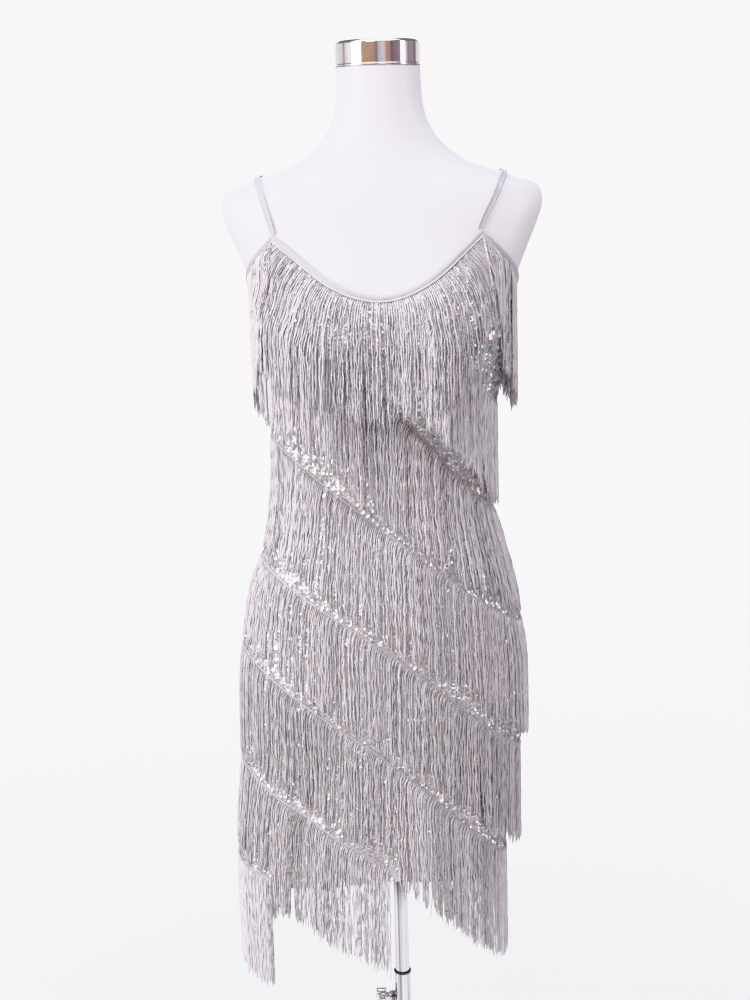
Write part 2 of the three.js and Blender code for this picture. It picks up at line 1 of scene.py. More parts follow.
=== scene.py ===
"""Sequin dress with diagonal rows of long fringe, worn by a limbless dress form on a pole stand.

Metres, +Z up. The front faces -Y and the wearer's left is +X. The origin is on the floor, under
the pole. Angles are measured round the pole from the front, towards the wearer's left.
"""

import bmesh
import bpy
import numpy as np
from mathutils import Matrix, Vector


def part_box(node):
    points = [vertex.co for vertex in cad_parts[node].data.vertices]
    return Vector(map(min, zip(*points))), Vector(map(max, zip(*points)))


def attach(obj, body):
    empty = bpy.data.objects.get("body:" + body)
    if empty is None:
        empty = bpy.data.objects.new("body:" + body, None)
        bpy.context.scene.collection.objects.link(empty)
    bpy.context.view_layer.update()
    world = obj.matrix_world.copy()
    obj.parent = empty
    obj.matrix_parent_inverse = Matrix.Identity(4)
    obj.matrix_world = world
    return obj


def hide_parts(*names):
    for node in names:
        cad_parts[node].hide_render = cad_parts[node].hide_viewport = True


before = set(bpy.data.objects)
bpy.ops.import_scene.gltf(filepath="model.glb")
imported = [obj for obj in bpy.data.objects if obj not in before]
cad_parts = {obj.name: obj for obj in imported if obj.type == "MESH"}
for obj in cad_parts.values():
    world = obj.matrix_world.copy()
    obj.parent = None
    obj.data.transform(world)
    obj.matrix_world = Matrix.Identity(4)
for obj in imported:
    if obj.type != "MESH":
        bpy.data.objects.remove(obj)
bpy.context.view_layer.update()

bl_info = {
    "name": "Fringed Sequin Dress",
    "version": (1, 0, 0),
    "blender": (4, 5, 0),
    "location": "View3D > Sidebar > Fringed Dress",
    "description": "Builds a fringed sequin dress on a dress form, with its stand and studio",
    "category": "Add Mesh",
}

MM = 0.001
TURN = 2 * np.pi

# ------------------------------------------------------------------ driving dimensions

# Horizontal sections of the form, in millimetres: half width, depth in front of and behind the
# pole axis. Squareness has no unit, and 2 is an ellipse.
FORM_COLUMNS = ("height", "half", "front", "back", "square")
FORM_SECTIONS = (
    (745, 110, 78, 82, 2.2),
    (750, 127, 91, 97, 2.2),
    (764, 141, 100, 110, 2.2),
    (790, 150, 105, 119, 2.2),
    (830, 154.5, 107, 124, 2.2),
    (870, 152, 107, 122, 2.2),
    (910, 146, 106, 115, 2.2),
    (950, 137, 103, 104, 2.2),
    (990, 126, 98, 92, 2.2),
    (1030, 117, 91, 82, 2.2),
    (1075, 113, 86, 75, 2.2),
    (1120, 116, 86, 76, 2.2),
    (1165, 123, 89, 83, 2.2),
    (1210, 129, 92, 90, 2.25),
    (1250, 134, 95, 95, 2.3),
    (1280, 138, 94, 98, 2.35),
    (1309, 150, 90, 100, 2.4),
    (1346, 166, 82, 100, 2.4),
    (1375, 178, 75, 97, 2.4),
    (1392, 183, 71, 93, 2.3),
    (1406, 181, 67, 88, 2.2),
    (1413, 174, 65, 85, 2.1),
    (1421, 152, 62, 80, 2.05),
    (1431, 124, 59, 75, 2),
    (1441, 97, 56, 70, 2),
    (1450, 83, 54, 66, 2),
    (1462, 69, 51, 61, 2),
    (1478, 58, 49, 56, 2),
    (1493, 52, 48, 52, 2),
    (1510, 49, 47, 49, 2),
    (1544, 47.5, 47.5, 47.5, 2),
)

# Inside of the dress. It clings from bust to hip and hangs free below, fuller on one side.
DRESS_COLUMNS = ("height", "left", "right", "front", "back", "square")
DRESS_SECTIONS = (
    (550, 126, 195, 124, 132, 2.2),
    (600, 129, 197, 122, 131, 2.2),
    (650, 133, 195, 118, 130, 2.2),
    (700, 136, 190, 114, 129, 2.2),
    (730, 142, 187, 112, 128, 2.2),
    (760, 152, 186, 110, 127, 2.2),
    (800, 157.5, 185, 110, 128, 2.2),
    (850, 157, 182, 110, 127, 2.2),
    (900, 151, 175, 109, 120, 2.2),
    (950, 143, 165, 106, 109, 2.2),
    (1000, 130, 147, 100, 95, 2.2),
    (1050, 119, 138, 92, 84, 2.2),
    (1100, 117, 134, 89, 79, 2.2),
    (1150, 123, 134, 91, 84, 2.2),
    (1200, 130, 137, 94, 92, 2.25),
    (1250, 136.5, 141, 97.5, 98, 2.3),
    (1285, 141.5, 145, 96.5, 101, 2.35),
    (1309, 152.5, 153, 92.5, 102.5, 2.4),
    (1346, 168.5, 168.5, 84.5, 102.5, 2.4),
    (1375, 180.5, 180.5, 77.5, 99.5, 2.4),
)

# Soft troughs and ridges of the free skirt: angle and width in degrees, depth in millimetres
# and positive outwards, and the height in millimetres below which each one grows.
SKIRT_FOLDS = (
    (-61, 7, 3.0, 800),
    (-47, 5, -6.0, 840),
    (-33, 8, 2.5, 780),
    (-12, 6, -2.5, 740),
    (14, 9, 2.0, 760),
    (33, 6, -3.0, 730),
    (52, 8, 2.0, 760),
    (128, 6, -4.0, 780),
    (146, 9, 2.5, 800),
    (171, 6, -3.5, 760),
    (-152, 7, -4.5, 820),
    (-133, 9, 2.5, 780),
    (-109, 6, -3.0, 760),
)
FOLD_GROWTH = 150 * MM

BUST = {"swell": 28 * MM, "height": 1247 * MM, "above": 46 * MM, "below": 38 * MM}
BUST_ANGLE, BUST_SPREAD = np.radians((37, 25))

# Cut of the bodice, with angles in degrees.
WORN_TURN = -2.2  # how far the dress is turned round the form
SIDE_SEAM = 90
FRONT_CORNER, BACK_CORNER = 59.6, 133.5
FRONT_CORNER_Z, BACK_CORNER_Z = 1359 * MM, 1322 * MM
NECK_DIP_Z, UNDERARM_Z, BACK_DIP_Z = 1293 * MM, 1288 * MM, 1302 * MM
NECK_POWER, ARMHOLE_FRONT_POWER, ARMHOLE_BACK_POWER = 1.85, 1.4, 1.5
HEM_SIDE_Z, HEM_RISE = 588 * MM, 28 * MM

NET_INSIDE, NET_OUTSIDE = 0.3 * MM, 1.2 * MM
BINDING_HEIGHT = 6.7 * MM
TAPE_HEIGHT = 10 * MM
STRAP_WIDTH, STRAP_TIP = 7 * MM, 5.5 * MM
STRAP_OFF_FORM, STRAP_CREST = 1.7 * MM, 139 * MM
TOP_LENGTH = 132 * MM
STRIP = 9 * MM  # sequins left showing above the next trim
HIDDEN_START = 24 * MM  # how far below a top edge the covered trims begin

# Diagonal trims: name, height at the pole axis, fall for each millimetre towards +X, extra drop
# at the wearer's left and right sides, and strand length, in millimetres.
TRIMS = (
    ("row_2", 1325, 1.05, 30, 30, 122),
    ("row_3", 1182, 1.12, 12, 36, 142),
    ("row_4", 1028, 0.8, 6, 0, 140),
    ("row_5", 889, 0.745, 30, 13, 138),
    ("row_6", 754, 0.835, 34, 22, 140),
    ("row_7", 626, 0.6, 24, 0, 134),
    ("row_8", 579, 0.72, 110, 110, 140),
)
TRIM_STEP, SHORTEST_STRETCH = 0.1, 12  # degrees between a trim's points, and number of points
HALVES = {
    "front": (WORN_TURN - SIDE_SEAM, WORN_TURN + SIDE_SEAM),
    "back": (WORN_TURN + SIDE_SEAM, WORN_TURN + 360 - SIDE_SEAM),
}

BOSS_Z, BOSS_REACH = 398 * MM, 17 * MM
KNOB_LOBES, KNOB_RADIUS, KNOB_SCALLOP = 6, 10.5 * MM, 1.8 * MM

CAMERA_PLACE = (0, -1.85, 1.475)
CAMERA_LENS = 57.6
CAMERA_TURN, CAMERA_TILT, CAMERA_ROLL = np.radians((-0.541, 13, 1.689))


# ------------------------------------------------------------------ sections and cut lines


def smooth_curve(heights, values):
    """A smooth curve through the values that never swings past them."""
    spans = np.diff(heights)
    rises = np.diff(values) / spans
    before, after = rises[:-1], rises[1:]
    same_way = before * after > 0
    slopes = np.zeros(len(values))
    slopes[1:-1][same_way] = (2 * before * after)[same_way] / (before + after)[same_way]

    def curve(height):
        z = np.clip(height, heights[0], heights[-1])
        i = np.clip(np.searchsorted(heights, z, "right") - 1, 0, len(spans) - 1)
        t = (z - heights[i]) / spans[i]
        ease = t * t * (3 - 2 * t)
        bend = t * (1 - t) ** 2 * slopes[i] - t * t * (1 - t) * slopes[i + 1]
        return values[i] * (1 - ease) + values[i + 1] * ease + spans[i] * bend

    return curve


def wrap(angle):
    return np.arctan2(np.sin(angle), np.cos(angle))


def bust_swell(angle, height):
    rise = height - BUST["height"]
    rise = rise / np.where(rise > 0, BUST["above"], BUST["below"])
    turn = np.abs(wrap(angle))
    sides = sum(np.exp(-0.5 * ((turn - side * BUST_ANGLE) / BUST_SPREAD) ** 2) for side in (-1, 1))
    return BUST["swell"] * sides * np.exp(-0.5 * rise * rise)


def skirt_folds(angle, height):
    total = 0
    for turn, width, depth, start in SKIRT_FOLDS:
        away = wrap(angle - np.radians(turn)) / np.radians(width)
        grown = np.clip((start * MM - height) / FOLD_GROWTH, 0, 1)
        total = total + depth * MM * np.exp(-0.5 * away * away) * grown * grown * (3 - 2 * grown)
    return total


class Body:
    """A rounded body, given by its horizontal sections."""

    def __init__(self, columns, sections, left, right, folds=None):
        table = np.array(sections, float)
        table[:, :-1] *= MM
        curves = {
            name: smooth_curve(table[:, 0], table[:, i]) for i, name in enumerate(columns) if i
        }
        self.left, self.right = curves[left], curves[right]
        self.front, self.back = curves["front"], curves["back"]
        self.square = curves["square"]
        self.folds = folds

    def radius(self, angle, height):
        """Distance from the pole axis to the surface."""
        sine, cosine = np.sin(angle), np.cos(angle)
        side = np.where(sine >= 0, self.left(height), self.right(height))
        depth = np.where(cosine >= 0, self.front(height), self.back(height))
        power = self.square(height)
        section = (np.abs(sine / side) ** power + np.abs(cosine / depth) ** power) ** (-1 / power)
        folds = self.folds(angle, height) if self.folds else 0
        return section + bust_swell(angle, height) + folds

    def point(self, angle, height, out=0):
        return point_at(angle, self.radius(angle, height) + out, height)

    def basis(self, angle, height):
        """Outward normal, direction round the body and direction up it, at surface points."""
        step = 1 * MM
        turn = step / self.radius(angle, height)
        across = self.point(angle + turn, height) - self.point(angle - turn, height)
        up = self.point(angle, height + step) - self.point(angle, height - step)
        normal = unit(np.cross(across, up))
        across = unit(across)
        return normal, across, np.cross(normal, across)


def unit(vectors):
    return vectors / np.linalg.norm(vectors, axis=-1, keepdims=True)


def point_at(angle, radius, height):
    x, y = radius * np.sin(angle), -radius * np.cos(angle)
    return np.stack(np.broadcast_arrays(x, y, height), axis=-1)


form = Body(FORM_COLUMNS, FORM_SECTIONS, "half", "half")
dress = Body(DRESS_COLUMNS, DRESS_SECTIONS, "left", "right", skirt_folds)


def mix(a, b, share):
    return a + (b - a) * share


def top_edge(angle):
    """Height of the neckline, armholes and back."""
    turn = np.degrees(np.abs(wrap(angle - np.radians(WORN_TURN))))
    neck = np.clip(turn / FRONT_CORNER, 0, 1) ** NECK_POWER
    front = np.clip((SIDE_SEAM - turn) / (SIDE_SEAM - FRONT_CORNER), 0, 1) ** ARMHOLE_FRONT_POWER
    rear = np.clip((turn - SIDE_SEAM) / (BACK_CORNER - SIDE_SEAM), 0, 1) ** ARMHOLE_BACK_POWER
    back = np.clip((180 - turn) / (180 - BACK_CORNER), 0, 1) ** 2
    return np.select(
        [turn <= FRONT_CORNER, turn <= SIDE_SEAM, turn <= BACK_CORNER],
        [
            mix(NECK_DIP_Z, FRONT_CORNER_Z, neck),
            mix(UNDERARM_Z, FRONT_CORNER_Z, front),
            mix(UNDERARM_Z, BACK_CORNER_Z, rear),
        ],
        mix(BACK_DIP_Z, BACK_CORNER_Z, back),
    )


def hem_edge(angle):
    return HEM_SIDE_Z + HEM_RISE * np.cos(angle) ** 2


class Trim:
    """A diagonal line of trim round the dress, at every tenth of a degree."""

    ANGLES = np.radians(WORN_TURN + np.arange(-SIDE_SEAM, 360.05 - SIDE_SEAM, TRIM_STEP))

    def __init__(self, name, height, fall, left_droop, right_droop, length):
        self.name = name
        self.length = length * MM
        self.number = name[-1]
        sine = np.sin(self.ANGLES)
        droop = np.where(sine >= 0, left_droop, right_droop)
        level = (height - droop * sine * sine) * MM
        z = level.copy()
        for _ in range(60):
            z = mix(z, level - fall * dress.radius(self.ANGLES, z) * sine, 0.5)
        self.heights = z

    def height(self, angle):
        turn = np.mod(angle - self.ANGLES[0], TURN) + self.ANGLES[0]
        return np.interp(turn, self.ANGLES, self.heights)

    def lies(self, angle):
        """Whether the trim is on the cloth, between its covered top edge and the hem."""
        z = self.height(angle)
        return (z < top_edge(angle) - HIDDEN_START) & (z - TAPE_HEIGHT > hem_edge(angle))

    def stretch(self, half):
        """Angles of the stretch where the trim lies on one half of the dress."""
        low, high = np.radians(HALVES[half])
        inside = (self.ANGLES >= low - 1e-9) & (self.ANGLES <= high + 1e-9)
        angles = self.ANGLES[inside]
        return angles[self.lies(angles)]

    def shows(self, half):
        """Whether enough of the trim lies on one half of the dress to be sewn there."""
        return len(self.stretch(half)) >= SHORTEST_STRETCH


trims = [Trim(*row) for row in TRIMS]


def spaced(angles, heights, pitch):
    """Angles at an even pitch along a line on the dress, and the line's slope at each."""
    along = distances(dress.point(angles, heights))
    count = max(int(along[-1] / pitch), 2)
    places = (np.arange(count) + 0.5) * along[-1] / count
    around = dress.radius(angles, heights) * np.gradient(angles)
    slopes = np.gradient(heights) / around
    return np.interp(places, along, angles), np.interp(places, along, slopes)


# ------------------------------------------------------------------ meshes from arrays


def lattice(rows, columns, closed=False):
    """Corners of the quads of a grid, as (row, column) pairs. A closed one joins its last
    column to its first, and its last corners have the column number past the end."""
    across = np.arange(columns if closed else columns - 1)
    row, column = np.meshgrid(np.arange(rows - 1), across, indexing="ij")
    corners = [(row, column), (row, column + 1), (row + 1, column + 1), (row + 1, column)]
    return np.stack([np.stack(pair, -1) for pair in corners], axis=-2).reshape(-1, 4, 2)


def build_mesh(name, points, faces, uvs=None, marks=None, sharp=None):
    """A mesh from points, lists of faces of one size each, loop UVs and point values."""
    mesh = bpy.data.meshes.new(name)
    mesh.vertices.add(len(points))
    mesh.vertices.foreach_set("co", np.ascontiguousarray(points, np.float32).ravel())
    loops = np.concatenate([np.asarray(group).ravel() for group in faces])
    sizes = np.concatenate([np.full(len(group), group.shape[1]) for group in faces])
    mesh.loops.add(len(loops))
    mesh.loops.foreach_set("vertex_index", loops.astype(np.int32))
    mesh.polygons.add(len(sizes))
    starts = np.concatenate([[0], np.cumsum(sizes)[:-1]]).astype(np.int32)
    mesh.polygons.foreach_set("loop_start", starts)
    mesh.update(calc_edges=True)
    if uvs is not None:
        layer = mesh.uv_layers.new(name="Cloth")
        layer.uv.foreach_set("vector", np.asarray(uvs, np.float32).ravel())
    for mark, values in (marks or {}).items():
        layer = mesh.attributes.new(mark, "FLOAT", "POINT")
        layer.data.foreach_set("value", np.asarray(values, np.float32).ravel())
    mesh.shade_smooth()
    if sharp:
        mesh.set_sharp_from_angle(angle=np.radians(sharp))
    return mesh


def outward(mesh):
    """Turns the faces of closed shells to point out."""
    work = bmesh.new()
    work.from_mesh(mesh)
    bmesh.ops.recalc_face_normals(work, faces=work.faces)
    work.to_mesh(mesh)
    work.free()


def add_piece(mesh, finish, slot, body, *nodes):
    """Puts a piece in the scene, on its body, in place of the solids that it stands for."""
    mesh.materials.append(finish)
    piece = bpy.data.objects.new(mesh.name, mesh)
    bpy.context.scene.collection.objects.link(piece)
    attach(piece, body)
    if nodes:
        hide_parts(*nodes)
    return piece


def add_solid(name, parts, finish, slot, body, node, sharp=None):
    """Puts closed parts in the scene as one piece."""
    mesh = build_mesh(name, *joined(parts), sharp=sharp)
    outward(mesh)
    return add_piece(mesh, finish, slot, body, node)


def joined(parts):
    """Joins (points, faces, uvs, marks) parts into one set. Faces are lists of arrays."""
    points, faces, uvs, marks = [], [], [], {}
    offset = 0
    for part_points, part_faces, part_uvs, part_marks in parts:
        points.append(part_points)
        faces += [group + offset for group in part_faces]
        uvs.append(part_uvs)
        for mark, values in part_marks.items():
            marks.setdefault(mark, []).append(values)
        offset += len(part_points)
    marks = {mark: np.concatenate(values) for mark, values in marks.items()}
    return np.concatenate(points), faces, np.concatenate(uvs), marks


def swept(sections, along, around, marks=None, caps=True):
    """A closed bar through sections of points, (section, point, xyz). along is each section's
    distance down the bar, and around each point's distance round it, with one more to close."""
    rows, columns = sections.shape[:2]
    corners = lattice(rows, columns, closed=True)
    faces = [corners[..., 0] * columns + corners[..., 1] % columns]
    uvs = [np.stack([along[corners[..., 0]], around[corners[..., 1]]], -1).reshape(-1, 2)]
    if caps:
        first = np.arange(columns)[::-1][None]
        last = (np.arange(columns) + (rows - 1) * columns)[None]
        faces += [first, last]
        uvs += [np.stack([np.zeros(columns), around[:-1][::-1]], -1)]
        uvs += [np.stack([np.full(columns, along[-1]), around[:-1]], -1)]
    return sections.reshape(-1, 3), faces, np.concatenate(uvs), marks or {}


def distances(path):
    """Distance along a line to each of its points."""
    return np.concatenate([[0], np.cumsum(np.linalg.norm(np.diff(path, axis=0), axis=1))])


def perimeter(profile):
    """Distance round a closed profile to each of its points, and back to the first."""
    return distances(np.vstack([profile, profile[:1]]))


def softened(profile, radius, steps=4):
    """A profile of (radius, height) points whose inner corners are rounded off."""
    points = [Vector(p) for p in profile]
    result = [points[0]]
    for before, corner, after in zip(points, points[1:], points[2:]):
        reach = min(radius, (before - corner).length * 0.45, (after - corner).length * 0.45)
        start = corner + (before - corner).normalized() * reach
        end = corner + (after - corner).normalized() * reach
        for i in range(steps + 1):
            t = i / steps
            result.append(start * (1 - t) ** 2 + corner * 2 * t * (1 - t) + end * t * t)
    result.append(points[-1])
    return np.array([tuple(p) for p in result])


def ring(inner, outer, low, high):
    """Profile of a plain turned ring."""
    return [(inner, low), (outer, low), (outer, high), (inner, high), (inner, low)]


def rod(radius, low, high):
    """Profile of a plain turned rod."""
    return [(0, low), (radius, low), (radius, high), (0, high)]


def turned(profile, sides, soft, axis="Z"):
    """A turned solid whose profile starts and ends on the axis, or closes on itself."""
    profile = np.array(profile, float)
    hollow = profile[0, 0] > 0
    outline = softened(profile, soft)
    outline = outline[:-1] if hollow else outline[1:-1]
    turns = np.linspace(0, TURN, sides, endpoint=False)
    x = outline[:, 0, None] * np.cos(turns)
    y = outline[:, 0, None] * np.sin(turns)
    z = np.broadcast_to(outline[:, 1, None], x.shape)
    points = np.stack([x, y, z], -1) if axis == "Z" else np.stack([-z, y, x], -1)
    rows = len(points)
    corners = lattice(rows + 1 if hollow else rows, sides, closed=True)
    faces = [(corners[..., 0] % rows) * sides + corners[..., 1] % sides]
    run = perimeter(outline) if hollow else distances(outline)
    uvs = [np.stack([corners[..., 1] / sides, run[corners[..., 0]]], -1).reshape(-1, 2)]
    if not hollow:
        disc = np.arange(sides)
        faces += [disc[::-1][None], (disc + (rows - 1) * sides)[None]]
        uvs.append(np.zeros((2 * sides, 2)))
    return points.reshape(-1, 3), faces, np.concatenate(uvs), {}


# ------------------------------------------------------------------ materials


class Graph:
    """Adds nodes to a tree, one call each, and wires their inputs."""

    def __init__(self, tree):
        self.tree = tree

    def feed(self, socket, value):
        """Links an input to another node's output, or sets it to a value."""
        if isinstance(value, bpy.types.NodeSocket):
            self.tree.links.new(value, socket)
        else:
            socket.default_value = value

    def add(self, kind, inputs=None, **options):
        node = self.tree.nodes.new(kind)
        node.location = (190 * len(self.tree.nodes), 0)
        for name, value in options.items():
            setattr(node, name, value)
        for key, value in (inputs or {}).items():
            self.feed(node.inputs[key], value)
        return node

    def math(self, operation, *values):
        return self.add("ShaderNodeMath", dict(enumerate(values)), operation=operation).outputs[0]

    def noise(self, vector, scale, detail=2.0, roughness=0.5):
        inputs = {"Vector": vector, "Scale": scale, "Detail": detail, "Roughness": roughness}
        return self.add("ShaderNodeTexNoise", inputs).outputs["Fac"]

    def spread(self, value, low, high):
        """Maps 0 to 1 onto low to high."""
        inputs = {"Value": value, "To Min": low, "To Max": high}
        return self.add("ShaderNodeMapRange", inputs).outputs["Result"]

    def ramp(self, value, *stops):
        node = self.add("ShaderNodeValToRGB", {"Fac": value})
        elements = node.color_ramp.elements
        while len(elements) < len(stops):
            elements.new(0.5)
        for element, (place, colour) in zip(elements, stops):
            element.position = place
            element.color = (*colour, 1)
        return node.outputs["Color"]

    def tint(self, colour, factor):
        """Multiplies a colour by a varying value."""
        if not isinstance(colour, bpy.types.NodeSocket):
            colour = tuple(colour)
        inputs = {0: colour, "Scale": factor}
        return self.add("ShaderNodeVectorMath", inputs, operation="SCALE").outputs[0]

    def bump(self, height, strength, distance):
        inputs = {"Height": height, "Strength": strength, "Distance": distance}
        return self.add("ShaderNodeBump", inputs).outputs["Normal"]

    def split(self, vector):
        return self.add("ShaderNodeSeparateXYZ", {0: vector}).outputs

    def combine(self, **parts):
        return self.add("ShaderNodeCombineXYZ", parts).outputs[0]

    def mark(self, name):
        """A value that the mesh carries at its points."""
        return self.add("ShaderNodeAttribute", attribute_name=name).outputs["Fac"]

    def group(self, group, **inputs):
        inputs = {name.replace("_", " "): value for name, value in inputs.items()}
        return self.add("ShaderNodeGroup", inputs, node_tree=group).outputs

    def cloth_place(self):
        return self.add("ShaderNodeUVMap", uv_map="Cloth").outputs["UV"]

    def solid_place(self):
        return self.add("ShaderNodeTexCoord").outputs["Object"]


ORIGIN = (0, 0, 0)


def node_group(name, inputs, outputs):
    """Makes a filling function into one that gives its shader node group, which is built the
    first time that it is asked for. Its inputs have defaults, and ORIGIN makes one a vector."""

    def builder(fill):
        def build():
            group = bpy.data.node_groups.get(name)
            if group:
                return group
            group = bpy.data.node_groups.new(name, "ShaderNodeTree")
            for label, default in inputs.items():
                kind = "Vector" if default == ORIGIN else "Float"
                socket = group.interface.new_socket(
                    label, in_out="INPUT", socket_type=f"NodeSocket{kind}"
                )
                socket.default_value = default
            for label in outputs:
                group.interface.new_socket(label, in_out="OUTPUT", socket_type="NodeSocketFloat")
            graph = Graph(group)
            source = graph.add("NodeGroupInput").outputs
            sink = graph.add("NodeGroupOutput").inputs
            for label, value in fill(graph, source).items():
                graph.feed(sink[label], value)
            return group

        return build

    return builder


@node_group(
    "Yarn Twist",
    {"Strand": ORIGIN, "Turns per Metre": 330.0, "Contrast": 0.2},
    ("Shade", "Height"),
)
def yarn_twist(graph, source):
    """Plies wound round a strand: u runs round it from 0 to 1 and v along it in metres."""
    split = graph.split(source["Strand"])
    turns = graph.math("MULTIPLY", split["Y"], source["Turns per Metre"])
    phase = graph.math("MULTIPLY", graph.math("ADD", split["X"], turns), TURN)
    wave = graph.math("MULTIPLY_ADD", graph.math("SINE", phase), 0.5, 0.5)
    slub = graph.noise(source["Strand"], 260, 3)
    shade = graph.math("MULTIPLY_ADD", wave, source["Contrast"], 1)
    shade = graph.math("MULTIPLY", shade, graph.spread(slub, 0.84, 1.1))
    return {"Shade": shade, "Height": wave}


@node_group(
    "Thread Grid",
    {"Cloth": ORIGIN, "Warp Pitch": 1 * MM, "Weft Pitch": 1 * MM, "Contrast": 0.3},
    ("Shade", "Height"),
)
def thread_grid(graph, source):
    """Two sets of threads crossing at right angles over a surface measured in metres."""
    split = graph.split(source["Cloth"])
    waves = []
    for axis, pitch in (("X", "Warp Pitch"), ("Y", "Weft Pitch")):
        phase = graph.math("MULTIPLY", graph.math("DIVIDE", split[axis], source[pitch]), TURN)
        waves.append(graph.math("MULTIPLY_ADD", graph.math("SINE", phase), 0.5, 0.5))
    height = graph.math("MAXIMUM", *waves)
    shade = graph.math("MULTIPLY_ADD", height, source["Contrast"], 1)
    return {"Shade": shade, "Height": height}


@node_group(
    "Handling Marks",
    {"Place": ORIGIN, "Smudge Scale": 20.0, "Grain Scale": 900.0, "Roughness": 0.2},
    ("Roughness", "Grain"),
)
def handling(graph, source):
    """Fine grain under broad, faint smudges, for hard surfaces."""
    broad = graph.noise(source["Place"], source["Smudge Scale"], 3)
    fine = graph.noise(source["Place"], source["Grain Scale"], 2)
    rough = graph.math("MULTIPLY", graph.spread(broad, 0.6, 1.5), source["Roughness"])
    return {"Roughness": rough, "Grain": fine}


def worn(graph, roughness, smudge=20.0, grain=900.0):
    """The handling marks of a hard surface, with the scales of its smudges and of its grain."""
    place = graph.solid_place()
    return graph.group(
        handling(), Place=place, Smudge_Scale=smudge, Grain_Scale=grain, Roughness=roughness
    )


def material(name):
    """Makes a function that gives a shader's sockets into one that gives its material, which is
    built the first time that it is asked for."""

    def builder(paint):
        def build():
            found = bpy.data.materials.get(name)
            if found:
                return found
            made = bpy.data.materials.new(name)
            made.use_nodes = True
            graph = Graph(made.node_tree)
            shader = made.node_tree.nodes["Principled BSDF"]
            for socket, value in paint(graph).items():
                graph.feed(shader.inputs[socket], value)
            return made

        return build

    return builder


@material("fringe yarn")
def fringe_yarn(graph):
    twist = graph.group(
        yarn_twist(), Strand=graph.cloth_place(), Turns_per_Metre=300, Contrast=0.16
    )
    yarns = (0, settings().fringe_cool), (1, settings().fringe_warm)
    colour = graph.ramp(graph.mark("warmth"), *yarns)
    # The tone mark is each strand's own random tone times its row's painted shade and light.
    shade = graph.math("MULTIPLY", twist["Shade"], graph.mark("tone"))
    return {
        "Base Color": graph.tint(colour, shade),
        "Roughness": graph.spread(twist["Height"], 0.56, 0.44),
        "Normal": graph.bump(twist["Height"], 0.5, 0.3 * MM),
        "Specular IOR Level": 0.45,
        "Sheen Weight": 0.15,
        "Sheen Roughness": 0.4,
    }


@material("sequin film")
def sequin_film(graph):
    colour = graph.ramp(
        graph.mark("tone"),
        (0.0, (0.60, 0.56, 0.60)),
        (0.35, settings().sequin_colour),
        (0.7, (0.86, 0.87, 0.91)),
        (0.88, (0.88, 0.78, 0.75)),
        (1.0, (0.95, 0.95, 0.96)),
    )
    marks = worn(graph, 0.22)
    return {
        "Base Color": colour,
        "Metallic": 0.62,
        "Roughness": marks["Roughness"],
        "Normal": graph.bump(marks["Grain"], 0.15, 0.1 * MM),
    }


@material("stretch net")
def stretch_net(graph):
    threads = graph.group(thread_grid(), Cloth=graph.cloth_place(), Contrast=0.9)
    return {
        "Base Color": graph.tint(settings().net_colour, threads["Shade"]),
        "Roughness": 0.7,
        "Normal": graph.bump(threads["Height"], 0.7, 0.25 * MM),
    }


@material("header tape")
def header_tape(graph):
    split = graph.split(graph.cloth_place())
    slant = graph.math("MULTIPLY_ADD", split["X"], 0.6, split["Y"])
    slanted = graph.combine(X=split["X"], Y=slant)
    threads = graph.group(
        thread_grid(), Cloth=slanted, Warp_Pitch=5 * MM, Weft_Pitch=1.5 * MM, Contrast=0.5
    )
    slub = graph.noise(graph.solid_place(), 500, 3)
    shade = graph.math("MULTIPLY", threads["Shade"], graph.spread(slub, 0.8, 1.15))
    return {
        "Base Color": graph.tint(settings().tape_colour, shade),
        "Roughness": graph.spread(slub, 0.5, 0.7),
        "Normal": graph.bump(threads["Height"], 0.8, 0.3 * MM),
        "Sheen Weight": 0.1,
    }


@material("satin binding")
def satin(graph):
    threads = graph.group(
        thread_grid(), Cloth=graph.cloth_place(),
        Warp_Pitch=0.7 * MM, Weft_Pitch=40 * MM, Contrast=0.12,
    )
    edges = (0, settings().satin_colour), (1, settings().piping_colour)
    # This mark is the bindings' real piping cord, and on the straps a painted highlight that
    # lightens their raised edges towards the piping colour.
    colour = graph.ramp(graph.mark("piping_and_highlight"), *edges)
    slub = graph.noise(graph.solid_place(), 160, 2)
    shade = graph.math("MULTIPLY", threads["Shade"], graph.spread(slub, 0.88, 1.08))
    return {
        "Base Color": graph.tint(colour, shade),
        "Roughness": graph.spread(slub, 0.3, 0.44),
        "Normal": graph.bump(threads["Height"], 0.3, 0.15 * MM),
        "Sheen Weight": 0.2,
        "Anisotropic": 0.3,
    }


@material("form shell")
def form_shell(graph):
    marks = worn(graph, 0.34, smudge=7, grain=650)
    tone = graph.spread(graph.noise(graph.solid_place(), 9), 0.985, 1.01)
    return {
        "Base Color": graph.tint(settings().form_colour, tone),
        "Roughness": marks["Roughness"],
        "Normal": graph.bump(marks["Grain"], 0.05, 0.2 * MM),
        "Specular IOR Level": 0.4,
    }


@material("polished chrome")
def chrome(graph):
    marks = worn(graph, 0.07, smudge=34, grain=1400)
    tone = graph.spread(graph.noise(graph.solid_place(), 60), 0.94, 1.03)
    return {
        "Base Color": graph.tint(settings().chrome_colour, tone),
        "Metallic": 1.0,
        "Roughness": marks["Roughness"],
        "Normal": graph.bump(marks["Grain"], 0.03, 0.1 * MM),
    }


